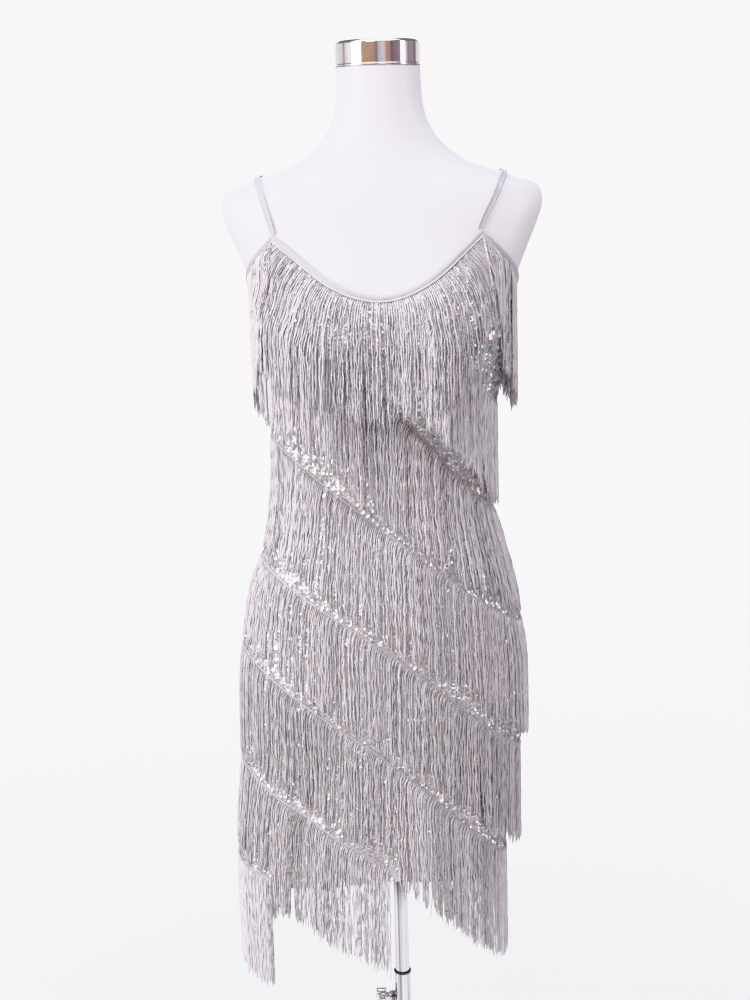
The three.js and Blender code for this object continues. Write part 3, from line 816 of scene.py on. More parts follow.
@material("plated tube")
def plated_tube(graph):
    """Plating with long streaks down the tube: painted reflections, lighter and darker lines in
    its colour, which also faintly bump it.
    """
    inputs = {0: graph.solid_place(), 1: (1, 1, 0.004)}
    streak_place = graph.add("ShaderNodeVectorMath", inputs, operation="MULTIPLY").outputs["Vector"]
    lines = graph.noise(streak_place, 240, 2, 0.6)
    return {
        # Painted reflection streaks: the base colour swings lighter and darker along long lines
        # down the tube.
        "Base Color": graph.tint(settings().tube_colour, graph.spread(lines, -0.6, 2.6)),
        "Metallic": 1.0,
        "Roughness": worn(graph, 0.13, smudge=25)["Roughness"],
        "Normal": graph.bump(lines, 0.08, 0.1 * MM),
    }


@material("brushed steel")
def brushed_steel(graph):
    """Steel brushed in circles round the pole."""
    split = graph.split(graph.solid_place())
    flat = graph.combine(X=split["X"], Y=split["Y"])
    reach = graph.add("ShaderNodeVectorMath", {0: flat}, operation="LENGTH").outputs["Value"]
    swirl = graph.combine(X=reach, Z=graph.math("MULTIPLY", split["Z"], 3))
    brushing = graph.noise(swirl, 2600, 4, 0.7)
    return {
        "Base Color": graph.tint(settings().steel_colour, graph.spread(brushing, 0.9, 1.06)),
        "Metallic": 1.0,
        "Roughness": worn(graph, 0.3, smudge=9)["Roughness"],
        "Normal": graph.bump(brushing, 0.2, 0.1 * MM),
        "Anisotropic": 0.4,
    }


@material("bush plastic")
def bush_plastic(graph):
    marks = worn(graph, 0.5, smudge=60, grain=2600)
    tone = graph.spread(marks["Grain"], 0.85, 1.2)
    return {
        "Base Color": graph.tint(settings().bush_colour, tone),
        "Roughness": marks["Roughness"],
        "Normal": graph.bump(marks["Grain"], 0.25, 0.2 * MM),
    }


@material("backdrop paper")
def backdrop_paper(graph):
    colour = settings().backdrop_colour
    grain = graph.noise(graph.solid_place(), 120, 3)
    return {
        "Base Color": graph.tint(colour, graph.spread(grain, 0.995, 1.005)),
        "Emission Color": graph.tint(colour, graph.mark("glow")),
        "Emission Strength": 1.0,
        "Roughness": 0.95,
        "Specular IOR Level": 0.1,
    }


# ------------------------------------------------------------------ settings


def length_setting(name, description, default):
    return bpy.props.FloatProperty(
        name=name, description=description, default=default, min=0, precision=5,
        unit="LENGTH", subtype="DISTANCE",
    )


def colour_setting(name, description, default):
    return bpy.props.FloatVectorProperty(
        name=name, description=description, default=default, size=3, min=0, max=1, subtype="COLOR"
    )


class FringedDressSettings(bpy.types.PropertyGroup):
    """Sizes and colours that can be changed before the pieces are built."""

    strand_diameter: length_setting("Strand Diameter", "Thickness of a fringe strand", 1.65 * MM)
    strand_pitch: length_setting("Strand Pitch", "Distance between strands on a tape", 2.25 * MM)
    top_pitch: length_setting("Top Pitch", "Distance between strands of the top row", 2.3 * MM)
    strand_crimp: length_setting("Strand Crimp", "How far a strand wanders sideways", 0.5 * MM)
    strand_ragged: length_setting("Ragged Ends", "How unevenly the strands end", 3.5 * MM)
    sequin_diameter: length_setting("Sequin Diameter", "Outside of a sequin", 5.8 * MM)
    sequin_hole: length_setting("Sequin Hole", "Hole of a sequin", 1.4 * MM)
    sequin_column: length_setting("Column Pitch", "Distance between sequin columns", 5.5 * MM)
    sequin_row: length_setting("Row Pitch", "Distance between sequins in a column", 4.4 * MM)
    fringe_cool: colour_setting("Cool Yarn", "Yarn of the cooler strands", (0.77, 0.76, 0.80))
    fringe_warm: colour_setting("Warm Yarn", "Yarn of the warmer strands", (0.79, 0.735, 0.77))
    sequin_colour: colour_setting("Sequins", "Film of most sequins", (0.78, 0.76, 0.80))
    net_colour: colour_setting("Net", "Ground of the sequin cloth", (0.46, 0.43, 0.45))
    tape_colour: colour_setting("Tape", "Header tapes", (0.46, 0.44, 0.47))
    satin_colour: colour_setting("Satin", "Bindings and straps", (0.49, 0.48, 0.53))
    # The piping colour is also what the straps' painted highlight lightens their raised edges
    # towards.
    piping_colour: colour_setting("Piping", "Bright edge of the bindings", (0.60, 0.59, 0.64))
    form_colour: colour_setting("Form", "Shell of the dress form", (0.94, 0.925, 0.99))
    chrome_colour: colour_setting("Chrome", "Cap and knob", (0.80, 0.79, 0.80))
    tube_colour: colour_setting("Tube Plating", "Pole, hub and socket", (0.56, 0.55, 0.57))
    steel_colour: colour_setting("Base Steel", "Base plate", (0.62, 0.61, 0.62))
    bush_colour: colour_setting("Bush", "Plastic ring of the pole", (0.09, 0.08, 0.095))
    backdrop_colour: colour_setting("Backdrop", "Floor and wall", (0.90, 0.89, 0.90))


def settings():
    return bpy.context.scene.fringed_dress


# ------------------------------------------------------------------ form and stand

GAP = 0.3 * MM  # between parts that slide or turn on one another
TUBE_WALL = 0.9 * MM
POLE_BORE = 9.3 * MM  # of the bush and the socket
HUB_FOOT, HUB_COLLAR = 4 * MM, 4.5 * MM
HUB_WAIST_HEIGHT, HUB_WAIST = 0.35, 0.72  # shares of the hub's height and radius
BOSS_HOLE, BOSS_RADIUS, BOSS_SINK = 3.4 * MM, 7 * MM, 1.5 * MM
SOCKET_SLEEVE, SOCKET_FLANGE = 13.5 * MM, 4 * MM
KNOB_NECK, KNOB_NECK_LENGTH, KNOB_SCREW = 5.5 * MM, 4 * MM, 2.9 * MM
# Rounded ends of the knob: share of its length and of its radius.
KNOB_ENDS = ((0, 0.55), (0.02, 0.86), (0.08, 0.95), (0.18, 1), (0.8, 1), (0.9, 0.96),
             (0.96, 0.88), (0.99, 0.74), (1, 0.5))
FORM_ROWS, FORM_SIDES, FORM_SAMPLES, FORM_REACH = 118, 104, 1600, 120 * MM
CAP_LIP, CAP_STEP, CAP_SLOPE, CAP_BEVEL, CAP_CROWN = 2.5 * MM, 0.8 * MM, 0.4 * MM, 3 * MM, 0.5 * MM
# Angles in degrees past which an edge is sharp.
STAND_SHARP, KNOB_SHARP, FORM_SHARP, CAP_SHARP = 32, 50, 40, 60


def build_stand():
    build_base()
    build_column()
    build_knob()
    low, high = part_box("form_socket")
    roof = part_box("upper_tube")[1].z + GAP
    under = high.z - SOCKET_FLANGE
    socket = turned([
        (0, roof), (POLE_BORE, roof), (POLE_BORE, low.z), (SOCKET_SLEEVE, low.z),
        (SOCKET_SLEEVE, under), (high.x, under), (high.x, high.z), (0, high.z),
    ], sides=96, soft=0.8 * MM)
    add_plated("socket", [socket], "form", "form_socket")


def add_plated(name, parts, body, node):
    add_solid(name, parts, plated_tube(), "chrome", body, node, STAND_SHARP)


def build_base():
    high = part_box("base_plate")[1]
    plate = turned(rod(high.x, 0, high.z), sides=160, soft=2.5 * MM)
    add_solid("plate", [plate], brushed_steel(), "base_steel", "stand", "base_plate", STAND_SHARP)

    low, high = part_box("base_hub")
    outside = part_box("lower_tube")[1].x
    bore = outside + GAP
    waist = mix(low.z, high.z, HUB_WAIST_HEIGHT)
    hub = turned([
        (bore, low.z), (high.x, low.z), (high.x, low.z + HUB_FOOT), (high.x * HUB_WAIST, waist),
        (outside + HUB_COLLAR, high.z), (bore, high.z), (bore, low.z),
    ], sides=96, soft=2 * MM)
    add_plated("hub", [hub], "stand", "base_hub")


def build_column():
    """The outer tube with the knob's boss, its bush, and the mast that slides in it."""
    low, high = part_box("lower_tube")
    tube = turned(ring(high.x - TUBE_WALL, high.x, low.z, high.z), sides=72, soft=0.3 * MM)
    boss = ring(BOSS_HOLE, BOSS_RADIUS, high.x - BOSS_SINK, BOSS_REACH)
    boss = turned(boss, sides=48, soft=0.8 * MM, axis="X")
    add_plated("column", [tube, raised(boss)], "stand", "lower_tube")

    low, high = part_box("tube_bush")
    bush = turned(ring(POLE_BORE, high.x, low.z, high.z), sides=72, soft=0.6 * MM)
    add_solid("bush", [bush], bush_plastic(), "bush", "stand", "tube_bush", STAND_SHARP)

    low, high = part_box("upper_tube")
    mast = turned(rod(high.x, low.z, high.z), sides=72, soft=1 * MM)
    add_plated("mast", [mast], "mast", "upper_tube")


def raised(part):
    """Lifts a part from the origin to the height of the clamp."""
    points, faces, uvs, marks = part
    return points + np.array([0, 0, BOSS_Z]), faces, uvs, marks


def build_knob():
    """A lobed clamp knob with a domed end, its neck and its screw, along -X."""
    low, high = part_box("clamp_knob")
    start, end = BOSS_REACH + GAP + KNOB_NECK_LENGTH, -low.x
    turns = np.linspace(0, TURN, 96, endpoint=False)
    lobe = KNOB_RADIUS - KNOB_SCALLOP * (0.5 - 0.5 * np.cos(KNOB_LOBES * turns))
    share, size = np.array(KNOB_ENDS).T[:, :, None]
    x = np.broadcast_to(-mix(start, end, share), (len(share), len(turns)))
    sections = np.stack([x, lobe * size * np.cos(turns), lobe * size * np.sin(turns)], -1)
    around = np.linspace(0, TURN * KNOB_RADIUS, len(turns) + 1)
    head = swept(sections, share[:, 0] * (end - start), around)
    neck = rod(KNOB_NECK, BOSS_REACH + GAP, start + 1 * MM)
    neck = turned(neck, sides=48, soft=0.8 * MM, axis="X")
    screw = turned(rod(KNOB_SCREW, -high.x, start), sides=32, soft=0.6 * MM, axis="X")
    parts = [raised(part) for part in (head, neck, screw)]
    add_solid("knob", parts, chrome(), "chrome", "clamp", "clamp_knob", KNOB_SHARP)


def build_form():
    low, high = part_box("form_torso")
    fine = np.linspace(low.z, high.z, FORM_SAMPLES)
    along = distances(np.stack([form.radius(np.pi / 2, fine), fine], -1))
    heights = np.interp(np.linspace(0, along[-1], FORM_ROWS), along, fine)
    turns = np.linspace(0, TURN, FORM_SIDES, endpoint=False)
    sections = form.point(*np.meshgrid(turns, heights))
    around = np.linspace(0, TURN * FORM_REACH, FORM_SIDES + 1)
    shell = swept(sections, heights - low.z, around)
    add_solid("torso", [shell], form_shell(), "form_shell", "form", "form_torso", FORM_SHARP)

    low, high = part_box("neck_cap")
    radius = high.x - CAP_STEP
    lip = low.z + CAP_LIP
    cap = turned([
        (0, low.z), (high.x, low.z), (high.x, lip), (radius, lip + CAP_SLOPE),
        (radius, high.z - CAP_BEVEL), (radius - CAP_BEVEL, high.z - CAP_CROWN), (0, high.z),
    ], sides=144, soft=1.2 * MM)
    add_solid("cap", [cap], chrome(), "chrome", "form", "neck_cap", CAP_SHARP)


# ------------------------------------------------------------------ bindings and straps

# Profile of a binding in millimetres: rise over the top edge, and distance off the dress.
BINDING_PROFILE = (
    (0.2, 0.6), (6.2, 0.5), (6.9, 1.1), (6.9, 2.0), (6.0, 2.7), (4.2, 2.95), (2.5, 2.75),
    (1.7, 2.3), (1.4, 2.8), (0.8, 3.35), (0.1, 3.3), (-0.4, 2.7), (-0.3, 1.6),
)
PIPING_POINTS = (8, 9, 10, 11)
BINDINGS = {
    "neck": (-FRONT_CORNER, FRONT_CORNER),
    "back": (BACK_CORNER, 360 - BACK_CORNER),
    "armhole_left": (FRONT_CORNER, BACK_CORNER),
    "armhole_right": (-BACK_CORNER, -FRONT_CORNER),
}
BINDING_STEP, BINDING_REACH = 2.6 * MM, 130 * MM
BINDING_SAG, SAG_EVERY = 0.12 * MM, 20 * MM
# Half profile of a strap: share of the half width, and distance off its underside in millimetres.
STRAP_PROFILE = ((1, 0.5), (0.97, 1.2), (0.82, 1.55), (0.66, 1.3), (0.5, 0.95), (0.25, 1.1))
STRAP_MIDDLE, STRAP_BACK = (0, 1.15), ((-0.8, 0), (0, 0), (0.8, 0))
STRAP_EDGE, STRAP_EDGE_HIGHLIGHT = 0.6, 0.35  # share of the half width past which the raised edges get a painted highlight, and its strength
STRAP_STEPS = 96
STRAP_WIDENING, STRAP_BOWING = 0.5, 1.3  # powers by which it widens and bows over the shoulder
RIBBON_SHARP = 70
SHOULDER_DEPTH, SHOULDER_STEPS = 0.2, 40  # of the search for the form's surface


def band(angles, heights, profile, ripple=0):
    """A band that follows a line round the dress, with its profile in the dress's own terms."""
    profile = np.array(profile) * MM
    z = heights[:, None] + profile[:, 0]
    out = profile[:, 1] + ripple
    sections = dress.point(angles[:, None], z, out)
    return sections, distances(sections[:, 0]), perimeter(profile)


def wander(rng, along, length, every, size):
    """Values that wander about nothing along a run."""
    knots = np.arange(0, length + every, every)
    return np.interp(along, knots, rng.normal(0, size, len(knots)))


def build_bindings():
    piping_and_highlight = np.zeros(len(BINDING_PROFILE))
    piping_and_highlight[list(PIPING_POINTS)] = 1
    for name, span in BINDINGS.items():
        low, high = np.radians(np.add(span, WORN_TURN))
        count = int((high - low) * BINDING_REACH / BINDING_STEP)
        angles = np.linspace(low + 0.001, high - 0.001, count)
        sections, along, around = band(angles, top_edge(angles), BINDING_PROFILE)
        rng = np.random.default_rng(len(name))
        sag = wander(rng, along, along[-1], SAG_EVERY, BINDING_SAG)
        sections = sections + np.array([0, 0, 1]) * sag[:, None, None]
        bar = swept(sections, along, around, {"piping_and_highlight": np.tile(piping_and_highlight, count)})
        add_solid(f"edge_{name}", [bar], satin(), "satin", "form", f"binding_{name}", RIBBON_SHARP)


def up_and_over(tilt):
    """Directions tilted up from the front over to the back."""
    return np.stack([np.zeros_like(tilt), -np.cos(tilt), np.sin(tilt)], -1)


def over_shoulder(x, tilt, low):
    """Where rays that are tilted from the front over to the back leave the form."""
    ray = up_and_over(tilt)
    start = np.stack(np.broadcast_arrays(x, 0 * x, low), -1)
    near, far = np.zeros_like(tilt), np.full_like(tilt, SHOULDER_DEPTH)
    for _ in range(SHOULDER_STEPS):
        middle = (near + far) / 2
        point = start + ray * middle[:, None]
        turn = np.arctan2(point[:, 0], -point[:, 1])
        inside = np.hypot(point[:, 0], point[:, 1]) < form.radius(turn, point[:, 2])
        near, far = np.where(inside, middle, near), np.where(inside, far, middle)
    return start + ray * near[:, None]


def build_straps():
    """Ribbons with two raised edges, from the front corners over the shoulders to the back."""
    share = np.linspace(0, 1, STRAP_STEPS)
    tilt = np.pi * share
    lift = BINDING_HEIGHT + GAP
    low = mix(FRONT_CORNER_Z + lift, BACK_CORNER_Z + lift, share)
    bow = np.sin(tilt).clip(0)
    width = mix(STRAP_TIP, STRAP_WIDTH, bow ** STRAP_WIDENING)
    other_half = [(-half, height) for half, height in STRAP_PROFILE[::-1]]
    profile = np.array([*STRAP_PROFILE, STRAP_MIDDLE, *other_half, *STRAP_BACK])
    edge = (np.abs(profile[:, 0]) > STRAP_EDGE) & (profile[:, 1] > 1)
    # Painted highlight: the raised edges of the strap are lightened part way towards the piping
    # colour.
    marks = {"piping_and_highlight": np.tile(edge * STRAP_EDGE_HIGHLIGHT, STRAP_STEPS)}
    around = perimeter(profile * np.array([STRAP_WIDTH / 2, MM]))
    for name, side in (("left", 1), ("right", -1)):
        corners = np.radians(WORN_TURN + side * np.array([FRONT_CORNER, BACK_CORNER]))
        front_x = dress.point(corners[0], FRONT_CORNER_Z + lift)[0]
        back_x = dress.point(corners[1], BACK_CORNER_Z + lift)[0]
        x = mix(np.where(share < 0.5, front_x, back_x), side * STRAP_CREST, bow ** STRAP_BOWING)
        centre = over_shoulder(x, tilt, low)
        left = over_shoulder(x - width / 2, tilt, low)
        right = over_shoulder(x + width / 2, tilt, low)
        across = unit(right - left)
        out = unit(np.cross(across, unit(np.gradient(centre, axis=0))))
        out *= np.sign(np.sum(out * up_and_over(tilt), -1))[:, None]
        sections = (
            (left + right)[:, None] / 2
            + across[:, None] * (profile[:, 0] * 0.5)[None, :, None] * width[:, None, None]
            + out[:, None] * (STRAP_OFF_FORM + profile[:, 1] * MM)[None, :, None]
        )
        bar = swept(sections, distances(centre), around, marks)
        add_solid(f"ribbon_{name}", [bar], satin(), "satin", "form", f"strap_{name}", RIBBON_SHARP)


# ------------------------------------------------------------------ sequin cloth

# Flat cut of each panel: width across the hip and length from strap corner to hem, in metres.
PANEL_ROWS, PANEL_COLUMNS = 86, 73
PANEL_SHARP = 60
PANEL_DROP = 0.3 * MM  # of its top edge below the binding's line
SEAM_GAP = 0.06  # degrees between a panel's edge and the side seam
HALF_WIDTH, FULL_LENGTH = 75 * MM * TURN, 0.78  # scales of the cloth's threads


def sewn_pieces(half):
    """Names of the pieces that are sewn to a panel."""
    sewn = [f"sequins_{half}", f"fringe_1_{half}"]
    for trim in trims:
        if trim.shows(half):
            sewn += [f"tape_{trim.number}_{half}", f"fringe_{trim.number}_{half}"]
    if half == "back":
        return [*sewn, "edge_back"]
    return [*sewn, "edge_neck", "edge_armhole_left", "edge_armhole_right",
            "ribbon_left", "ribbon_right"]


def build_panels():
    for half, span in HALVES.items():
        angles = np.radians(np.linspace(span[0] + SEAM_GAP, span[1] - SEAM_GAP, PANEL_COLUMNS))
        share = np.linspace(0, 1, PANEL_ROWS)[:, None]
        heights = mix(top_edge(angles) - PANEL_DROP, hem_edge(angles), share)
        outside = dress.point(angles, heights, NET_OUTSIDE)
        inside = dress.point(angles, heights, NET_INSIDE)
        sections = np.concatenate([outside, inside[:, ::-1]], axis=1)
        across = np.linspace(0, HALF_WIDTH, PANEL_COLUMNS)
        along = HEM_SIDE_Z + np.linspace(FULL_LENGTH, 0, PANEL_ROWS)
        around = np.concatenate([across, across[::-1], [0]])
        points, faces, uvs, marks = swept(sections, along, around, caps=False)
        rims = np.concatenate([net_rim(0), net_rim(PANEL_ROWS - 1)])
        uvs = np.concatenate([uvs, np.zeros((rims.size, 2))])
        shell = points, [*faces, rims], uvs, marks
        piece = add_solid(f"net_{half}", [shell], stretch_net(), "sequin_mesh", "form",
                          f"panel_{half}", PANEL_SHARP)
        sewn = sewn_pieces(half)


def net_rim(row):
    """Quads that close one end of a panel between its outside and its inside."""
    outer = row * 2 * PANEL_COLUMNS + np.arange(PANEL_COLUMNS)
    inner = (row + 1) * 2 * PANEL_COLUMNS - 1 - np.arange(PANEL_COLUMNS)
    return np.stack([outer[:-1], outer[1:], inner[1:], inner[:-1]], -1)


SEQUIN_SAMPLES = 721  # points round a half by which its columns are spaced
EDGE_MARGIN = 3 * MM  # between the outermost sequins and the panel's edges
FIRST_ROW_DROP = 4 * MM  # of the topmost row of sequins below the front corners
OVER_TAPE, UNDER_TAPE = 1.5 * MM, 1 * MM  # margins without sequins at a tape's edges
# No sequins under the binding's corners: reach to each side in degrees, and down the cloth.
CORNER_REACH, CORNER_DROP = 9, 45 * MM
# Where sequins can be seen, so that each is a cupped ring: below the neckline and above a trim.
SEEN_REACH, SEEN_DROP = np.radians(48), 75 * MM
SEEN_OVER_TRIM = STRIP + 22 * MM


def sequin_places(half):
    """Angles and heights of the sequins of one half, in rows and columns, and which are seen."""
    centre = np.radians(WORN_TURN) + (0 if half == "front" else np.pi)
    corner = FRONT_CORNER if half == "front" else 180 - BACK_CORNER
    fine = np.linspace(-np.pi / 2, np.pi / 2, SEQUIN_SAMPLES) + centre
    pitch = settings().sequin_column
    found = []
    for z in np.arange(FRONT_CORNER_Z - FIRST_ROW_DROP, HEM_SIDE_Z, -settings().sequin_row):
        along = distances(dress.point(fine, np.full_like(fine, z)))
        along -= along[len(fine) // 2]
        columns = np.arange(int(along[0] / pitch), int(along[-1] / pitch) + 1) * pitch
        angle = np.interp(columns, along, fine)
        found.append(np.stack([angle, np.full_like(angle, z)], -1))
    angle, z = np.concatenate(found).T
    away = np.abs(wrap(angle - centre))
    keep = (z < top_edge(angle) - EDGE_MARGIN) & (z > hem_edge(angle) + EDGE_MARGIN)
    near_corner = np.abs(np.degrees(away) - corner) < CORNER_REACH
    keep &= ~(near_corner & (z > top_edge(angle) - CORNER_DROP))
    seen = (z > top_edge(angle) - SEEN_DROP) & (away < SEEN_REACH)
    for trim in trims:
        line = trim.height(angle)
        lies = trim.lies(angle)
        keep &= ~(lies & (z < line + OVER_TAPE) & (z > line - TAPE_HEIGHT - UNDER_TAPE))
        seen |= lies & (z >= line) & (z < line + SEEN_OVER_TRIM)
    return angle[keep], z[keep], seen[keep]


SEQUIN_OFF_NET = 0.75 * MM
SEQUIN_SCATTER = 0.35 * MM
SEQUIN_LEAN, SEQUIN_SWING = (6, 12), (0, 16)  # mean and spread in degrees
SEQUIN_CUP = 0.35 * MM
CUPPED_SIDES, PLAIN_SIDES = 8, 6
SEQUIN_TONES = (2.2, 2.6)  # shape of the spread of their tones


def build_sequins():
    """Sequins sewn to the net in columns, each lapping over the one below."""
    outer, hole = settings().sequin_diameter / 2, settings().sequin_hole / 2
    cupped = ((outer, 0.0, CUPPED_SIDES), (hole, -SEQUIN_CUP, CUPPED_SIDES))
    plain = ((outer, 0.0, PLAIN_SIDES),)
    for seed, half in enumerate(HALVES):
        rng = np.random.default_rng(40 + seed)
        angle, z, seen = sequin_places(half)
        count = len(angle)
        angle = angle + rng.normal(0, SEQUIN_SCATTER, count) / dress.radius(angle, z)
        z = z + rng.normal(0, SEQUIN_SCATTER, count)
        normal, across, up = dress.basis(angle, z)
        lean = np.radians(rng.normal(*SEQUIN_LEAN, count))[:, None]
        swing = np.radians(rng.normal(*SEQUIN_SWING, count))[:, None]
        facing = unit(normal + np.tan(lean) * up + np.tan(swing) * across)
        side = unit(np.cross(up, facing))
        rise = np.cross(facing, side)
        place = dress.point(angle, z, NET_OUTSIDE + SEQUIN_OFF_NET)
        tone = rng.beta(*SEQUIN_TONES, count)
        parts = [
            discs(rng, shape, tone[some], place[some], side[some], rise[some], facing[some])
            for some, shape in ((seen, cupped), (~seen, plain))
        ]
        mesh = build_mesh(f"sequins_{half}", *joined(parts))
        mesh.shade_flat()
        add_piece(mesh, sequin_film(), "sequin_mesh", "form")


def discs(rng, circles, tone, place, side, rise, facing):
    """Flat discs of one circle, or cupped rings of two: (radius, depth, sides) for each."""
    sides = circles[0][2]
    spin = rng.uniform(0, TURN, len(place))[:, None]
    turns = (np.linspace(0, TURN, sides, endpoint=False) + spin)[..., None]
    round_them = np.cos(turns) * side[:, None] + np.sin(turns) * rise[:, None]
    points = np.concatenate([
        place[:, None] + radius * round_them + depth * facing[:, None]
        for radius, depth, _ in circles
    ], axis=1)
    size = points.shape[1]
    k = np.arange(sides)
    if len(circles) == 1:
        face = k[None]
    else:
        following = (k + 1) % sides
        face = np.stack([k, following, following + sides, k + sides], -1)
    faces = (face[None] + np.arange(len(place))[:, None, None] * size).reshape(-1, face.shape[-1])
    marks = {"tone": np.repeat(tone, size)}
    return points.reshape(-1, 3), [faces], np.zeros((faces.size, 2)), marks


# ------------------------------------------------------------------ tapes and fringe

# Profile of a header tape in millimetres, from its top edge: rise, and distance off the dress.
TAPE_PROFILE = (
    (-0.2, 1.6), (0.5, 2.2), (0.3, 2.9), (-0.6, 3.3), (-1.6, 2.8), (-5.5, 2.5), (-9.6, 2.3),
    (-9.9, 1.6),
)
CHAIN_POINTS = (1, 2, 3)
CHAIN_PITCH, CHAIN_RIPPLE = 1.4 * MM, 0.45 * MM
TAPE_RIPPLE, TAPE_WANDER, WANDER_EVERY = 0.06 * MM, 0.35 * MM, 9


def build_tapes():
    """Header tapes with a chain stitch along the top edge."""
    for seed, trim in enumerate(trims):
        for half in HALVES:
            if not trim.shows(half):
                continue
            angles = trim.stretch(half)
            rng = np.random.default_rng(100 + seed * 2 + (half == "back"))
            even = spaced(angles, trim.height(angles), CHAIN_PITCH)[0]
            even = np.concatenate([[angles[0]], even, [angles[-1]]])
            places = np.arange(len(even))
            ripple = rng.normal(0, TAPE_RIPPLE, (len(even), len(TAPE_PROFILE)))
            chain = np.where(places % 2 == 0, CHAIN_RIPPLE, -CHAIN_RIPPLE)
            ripple[:, list(CHAIN_POINTS)] += chain[:, None]
            heights = trim.height(even) + wander(rng, places, len(even), WANDER_EVERY, TAPE_WANDER)
            tape = swept(*band(even, heights, TAPE_PROFILE, ripple))
            name = f"tape_{trim.number}_{half}"
            add_solid(name, [tape], header_tape(), "tape", "form", f"tape_{trim.name}_{half}")


STRAND_STEPS, STRAND_SIDES = 21, 3
FINER_ROOT = 1.12  # power that crowds a strand's steps towards its root
# Waves of a strand, the tight ones and the loose ones: shortest and longest in millimetres, and
# size as a share of the crimp, which a strand has more or less of.
STRAND_WAVES = ((13, 22, 0.75), (28, 70, 1.1))
CRIMP_SHARES, CRIMP_OUTWARDS = (0.4, 1.4), 0.45
WAVE_GROWTH = 25 * MM
LARGEST_SINK = 0.5 * MM  # how far smoothing may draw a strand in at each point
# Strands that hang together: how many, pull towards their middle, and drift to one side.
CLUMP_SIZES, CLUMP_PULL, CLUMP_DRIFT = (3, 9), (0.1, 0.5), 1.2 * MM
PULL_GROWTH, DRIFT_GROWTH = 1.4, 2  # powers by which they grow down a strand
THIN_EVERY = 3  # strands between the turning points of how thin a row is
BUMP_SHOULDER = 0.4  # share of a stretch's reach over which a change comes in
STRAND_TWIST = TURN / (70 * MM)
ROOT_THICKNESS, TIP_THICKNESS = 0.8, (0.92, 0.5)
THICKNESS_SHARES, SLUB = (0.95, 1.3), 0.07
WARMTH = (0.5, 0.25)  # mean and spread
# Shade of a strand: drift along the row, strands between its turning points, scatter and limits.
SHADE_DRIFT, SHADE_EVERY, SHADE_SCATTER, SHADE_LIMITS = 0.09, 7, 0.06, (0.6, 1.2)
YARN_LENGTH = 5  # metres of yarn over which the strands' slubs are taken


def hang_strands(rng, angles, heights, slopes, ends, settle, stand_off):
    """Centre lines of hanging strands: points (strand, step, xyz). They leave the line at a
    right angle to it, settle to the plumb line, and rest on whatever bulges in their way."""
    count = len(angles)
    share = np.linspace(0, 1, STRAND_STEPS + 1) ** FINER_ROOT
    drop = (heights - ends)[:, None] * share
    z = heights[:, None] - drop
    start_radius = dress.radius(angles, heights)[:, None]

    lateral = slopes[:, None] * settle * (1 - np.exp(-drop / settle))
    lateral = lateral + clumping(rng, angles, start_radius, share)
    depth = np.zeros_like(z)
    grown = np.clip(drop / WAVE_GROWTH, 0, 1)
    for low, high, size in STRAND_WAVES:
        phase = rng.uniform(0, TURN, (2, count, 1))
        length = rng.uniform(low, high, (2, count, 1)) * MM
        size = size * settings().strand_crimp * rng.uniform(*CRIMP_SHARES, (2, count, 1))
        lateral += grown * size[0] * np.sin(TURN * drop / length[0] + phase[0])
        depth += grown * CRIMP_OUTWARDS * size[1] * np.sin(TURN * drop / length[1] + phase[1])

    turn = angles[:, None] + lateral / start_radius
    radius = np.maximum.accumulate(dress.radius(turn, z) + stand_off(drop, z), axis=1)
    for _ in range(2):
        middle = (radius[:, :-2] + radius[:, 1:-1] * 2 + radius[:, 2:]) / 4
        radius[:, 1:-1] = np.maximum(middle, radius[:, 1:-1] - LARGEST_SINK)
    return point_at(turn, radius + depth, z)


def eased(start, end, share):
    share = np.clip(share, 0, 1)
    return mix(start, end, share * share * (3 - 2 * share))


def smooth_bump(value, centre, reach):
    """One in the middle of a stretch, nothing outside it, with soft shoulders."""
    return eased(0, 1, (reach - np.abs(value - centre)) / (BUMP_SHOULDER * reach))


def drifting(rng, count, every, low, high):
    """Values that drift between two limits along a row of strands."""
    knots = rng.uniform(low, high, count // every + 3)
    return np.interp(np.arange(count) / every, np.arange(len(knots)), knots)


def thinned(rng, count, thin, dense_loss, thin_loss):
    """Which strands of a row are there: some stretches of it are thinner than the rest."""
    loss = np.where(drifting(rng, count, THIN_EVERY, 0, 1) < thin, thin_loss, dense_loss)
    return rng.uniform(0, 1, count) > loss


def clumping(rng, angles, radius, share):
    """Sideways drift that draws neighbouring strands together on their way down."""
    count = len(angles)
    sizes = rng.integers(*CLUMP_SIZES, count)
    clump = np.repeat(np.arange(count), sizes)[:count]
    centre = np.bincount(clump, angles) / np.maximum(np.bincount(clump), 1)
    pull = rng.uniform(*CLUMP_PULL, len(centre))[clump][:, None]
    drift = rng.normal(0, CLUMP_DRIFT, len(centre))[clump][:, None]
    towards = (centre[clump] - angles)[:, None] * radius
    return towards * pull * share ** PULL_GROWTH + drift * share ** DRIFT_GROWTH


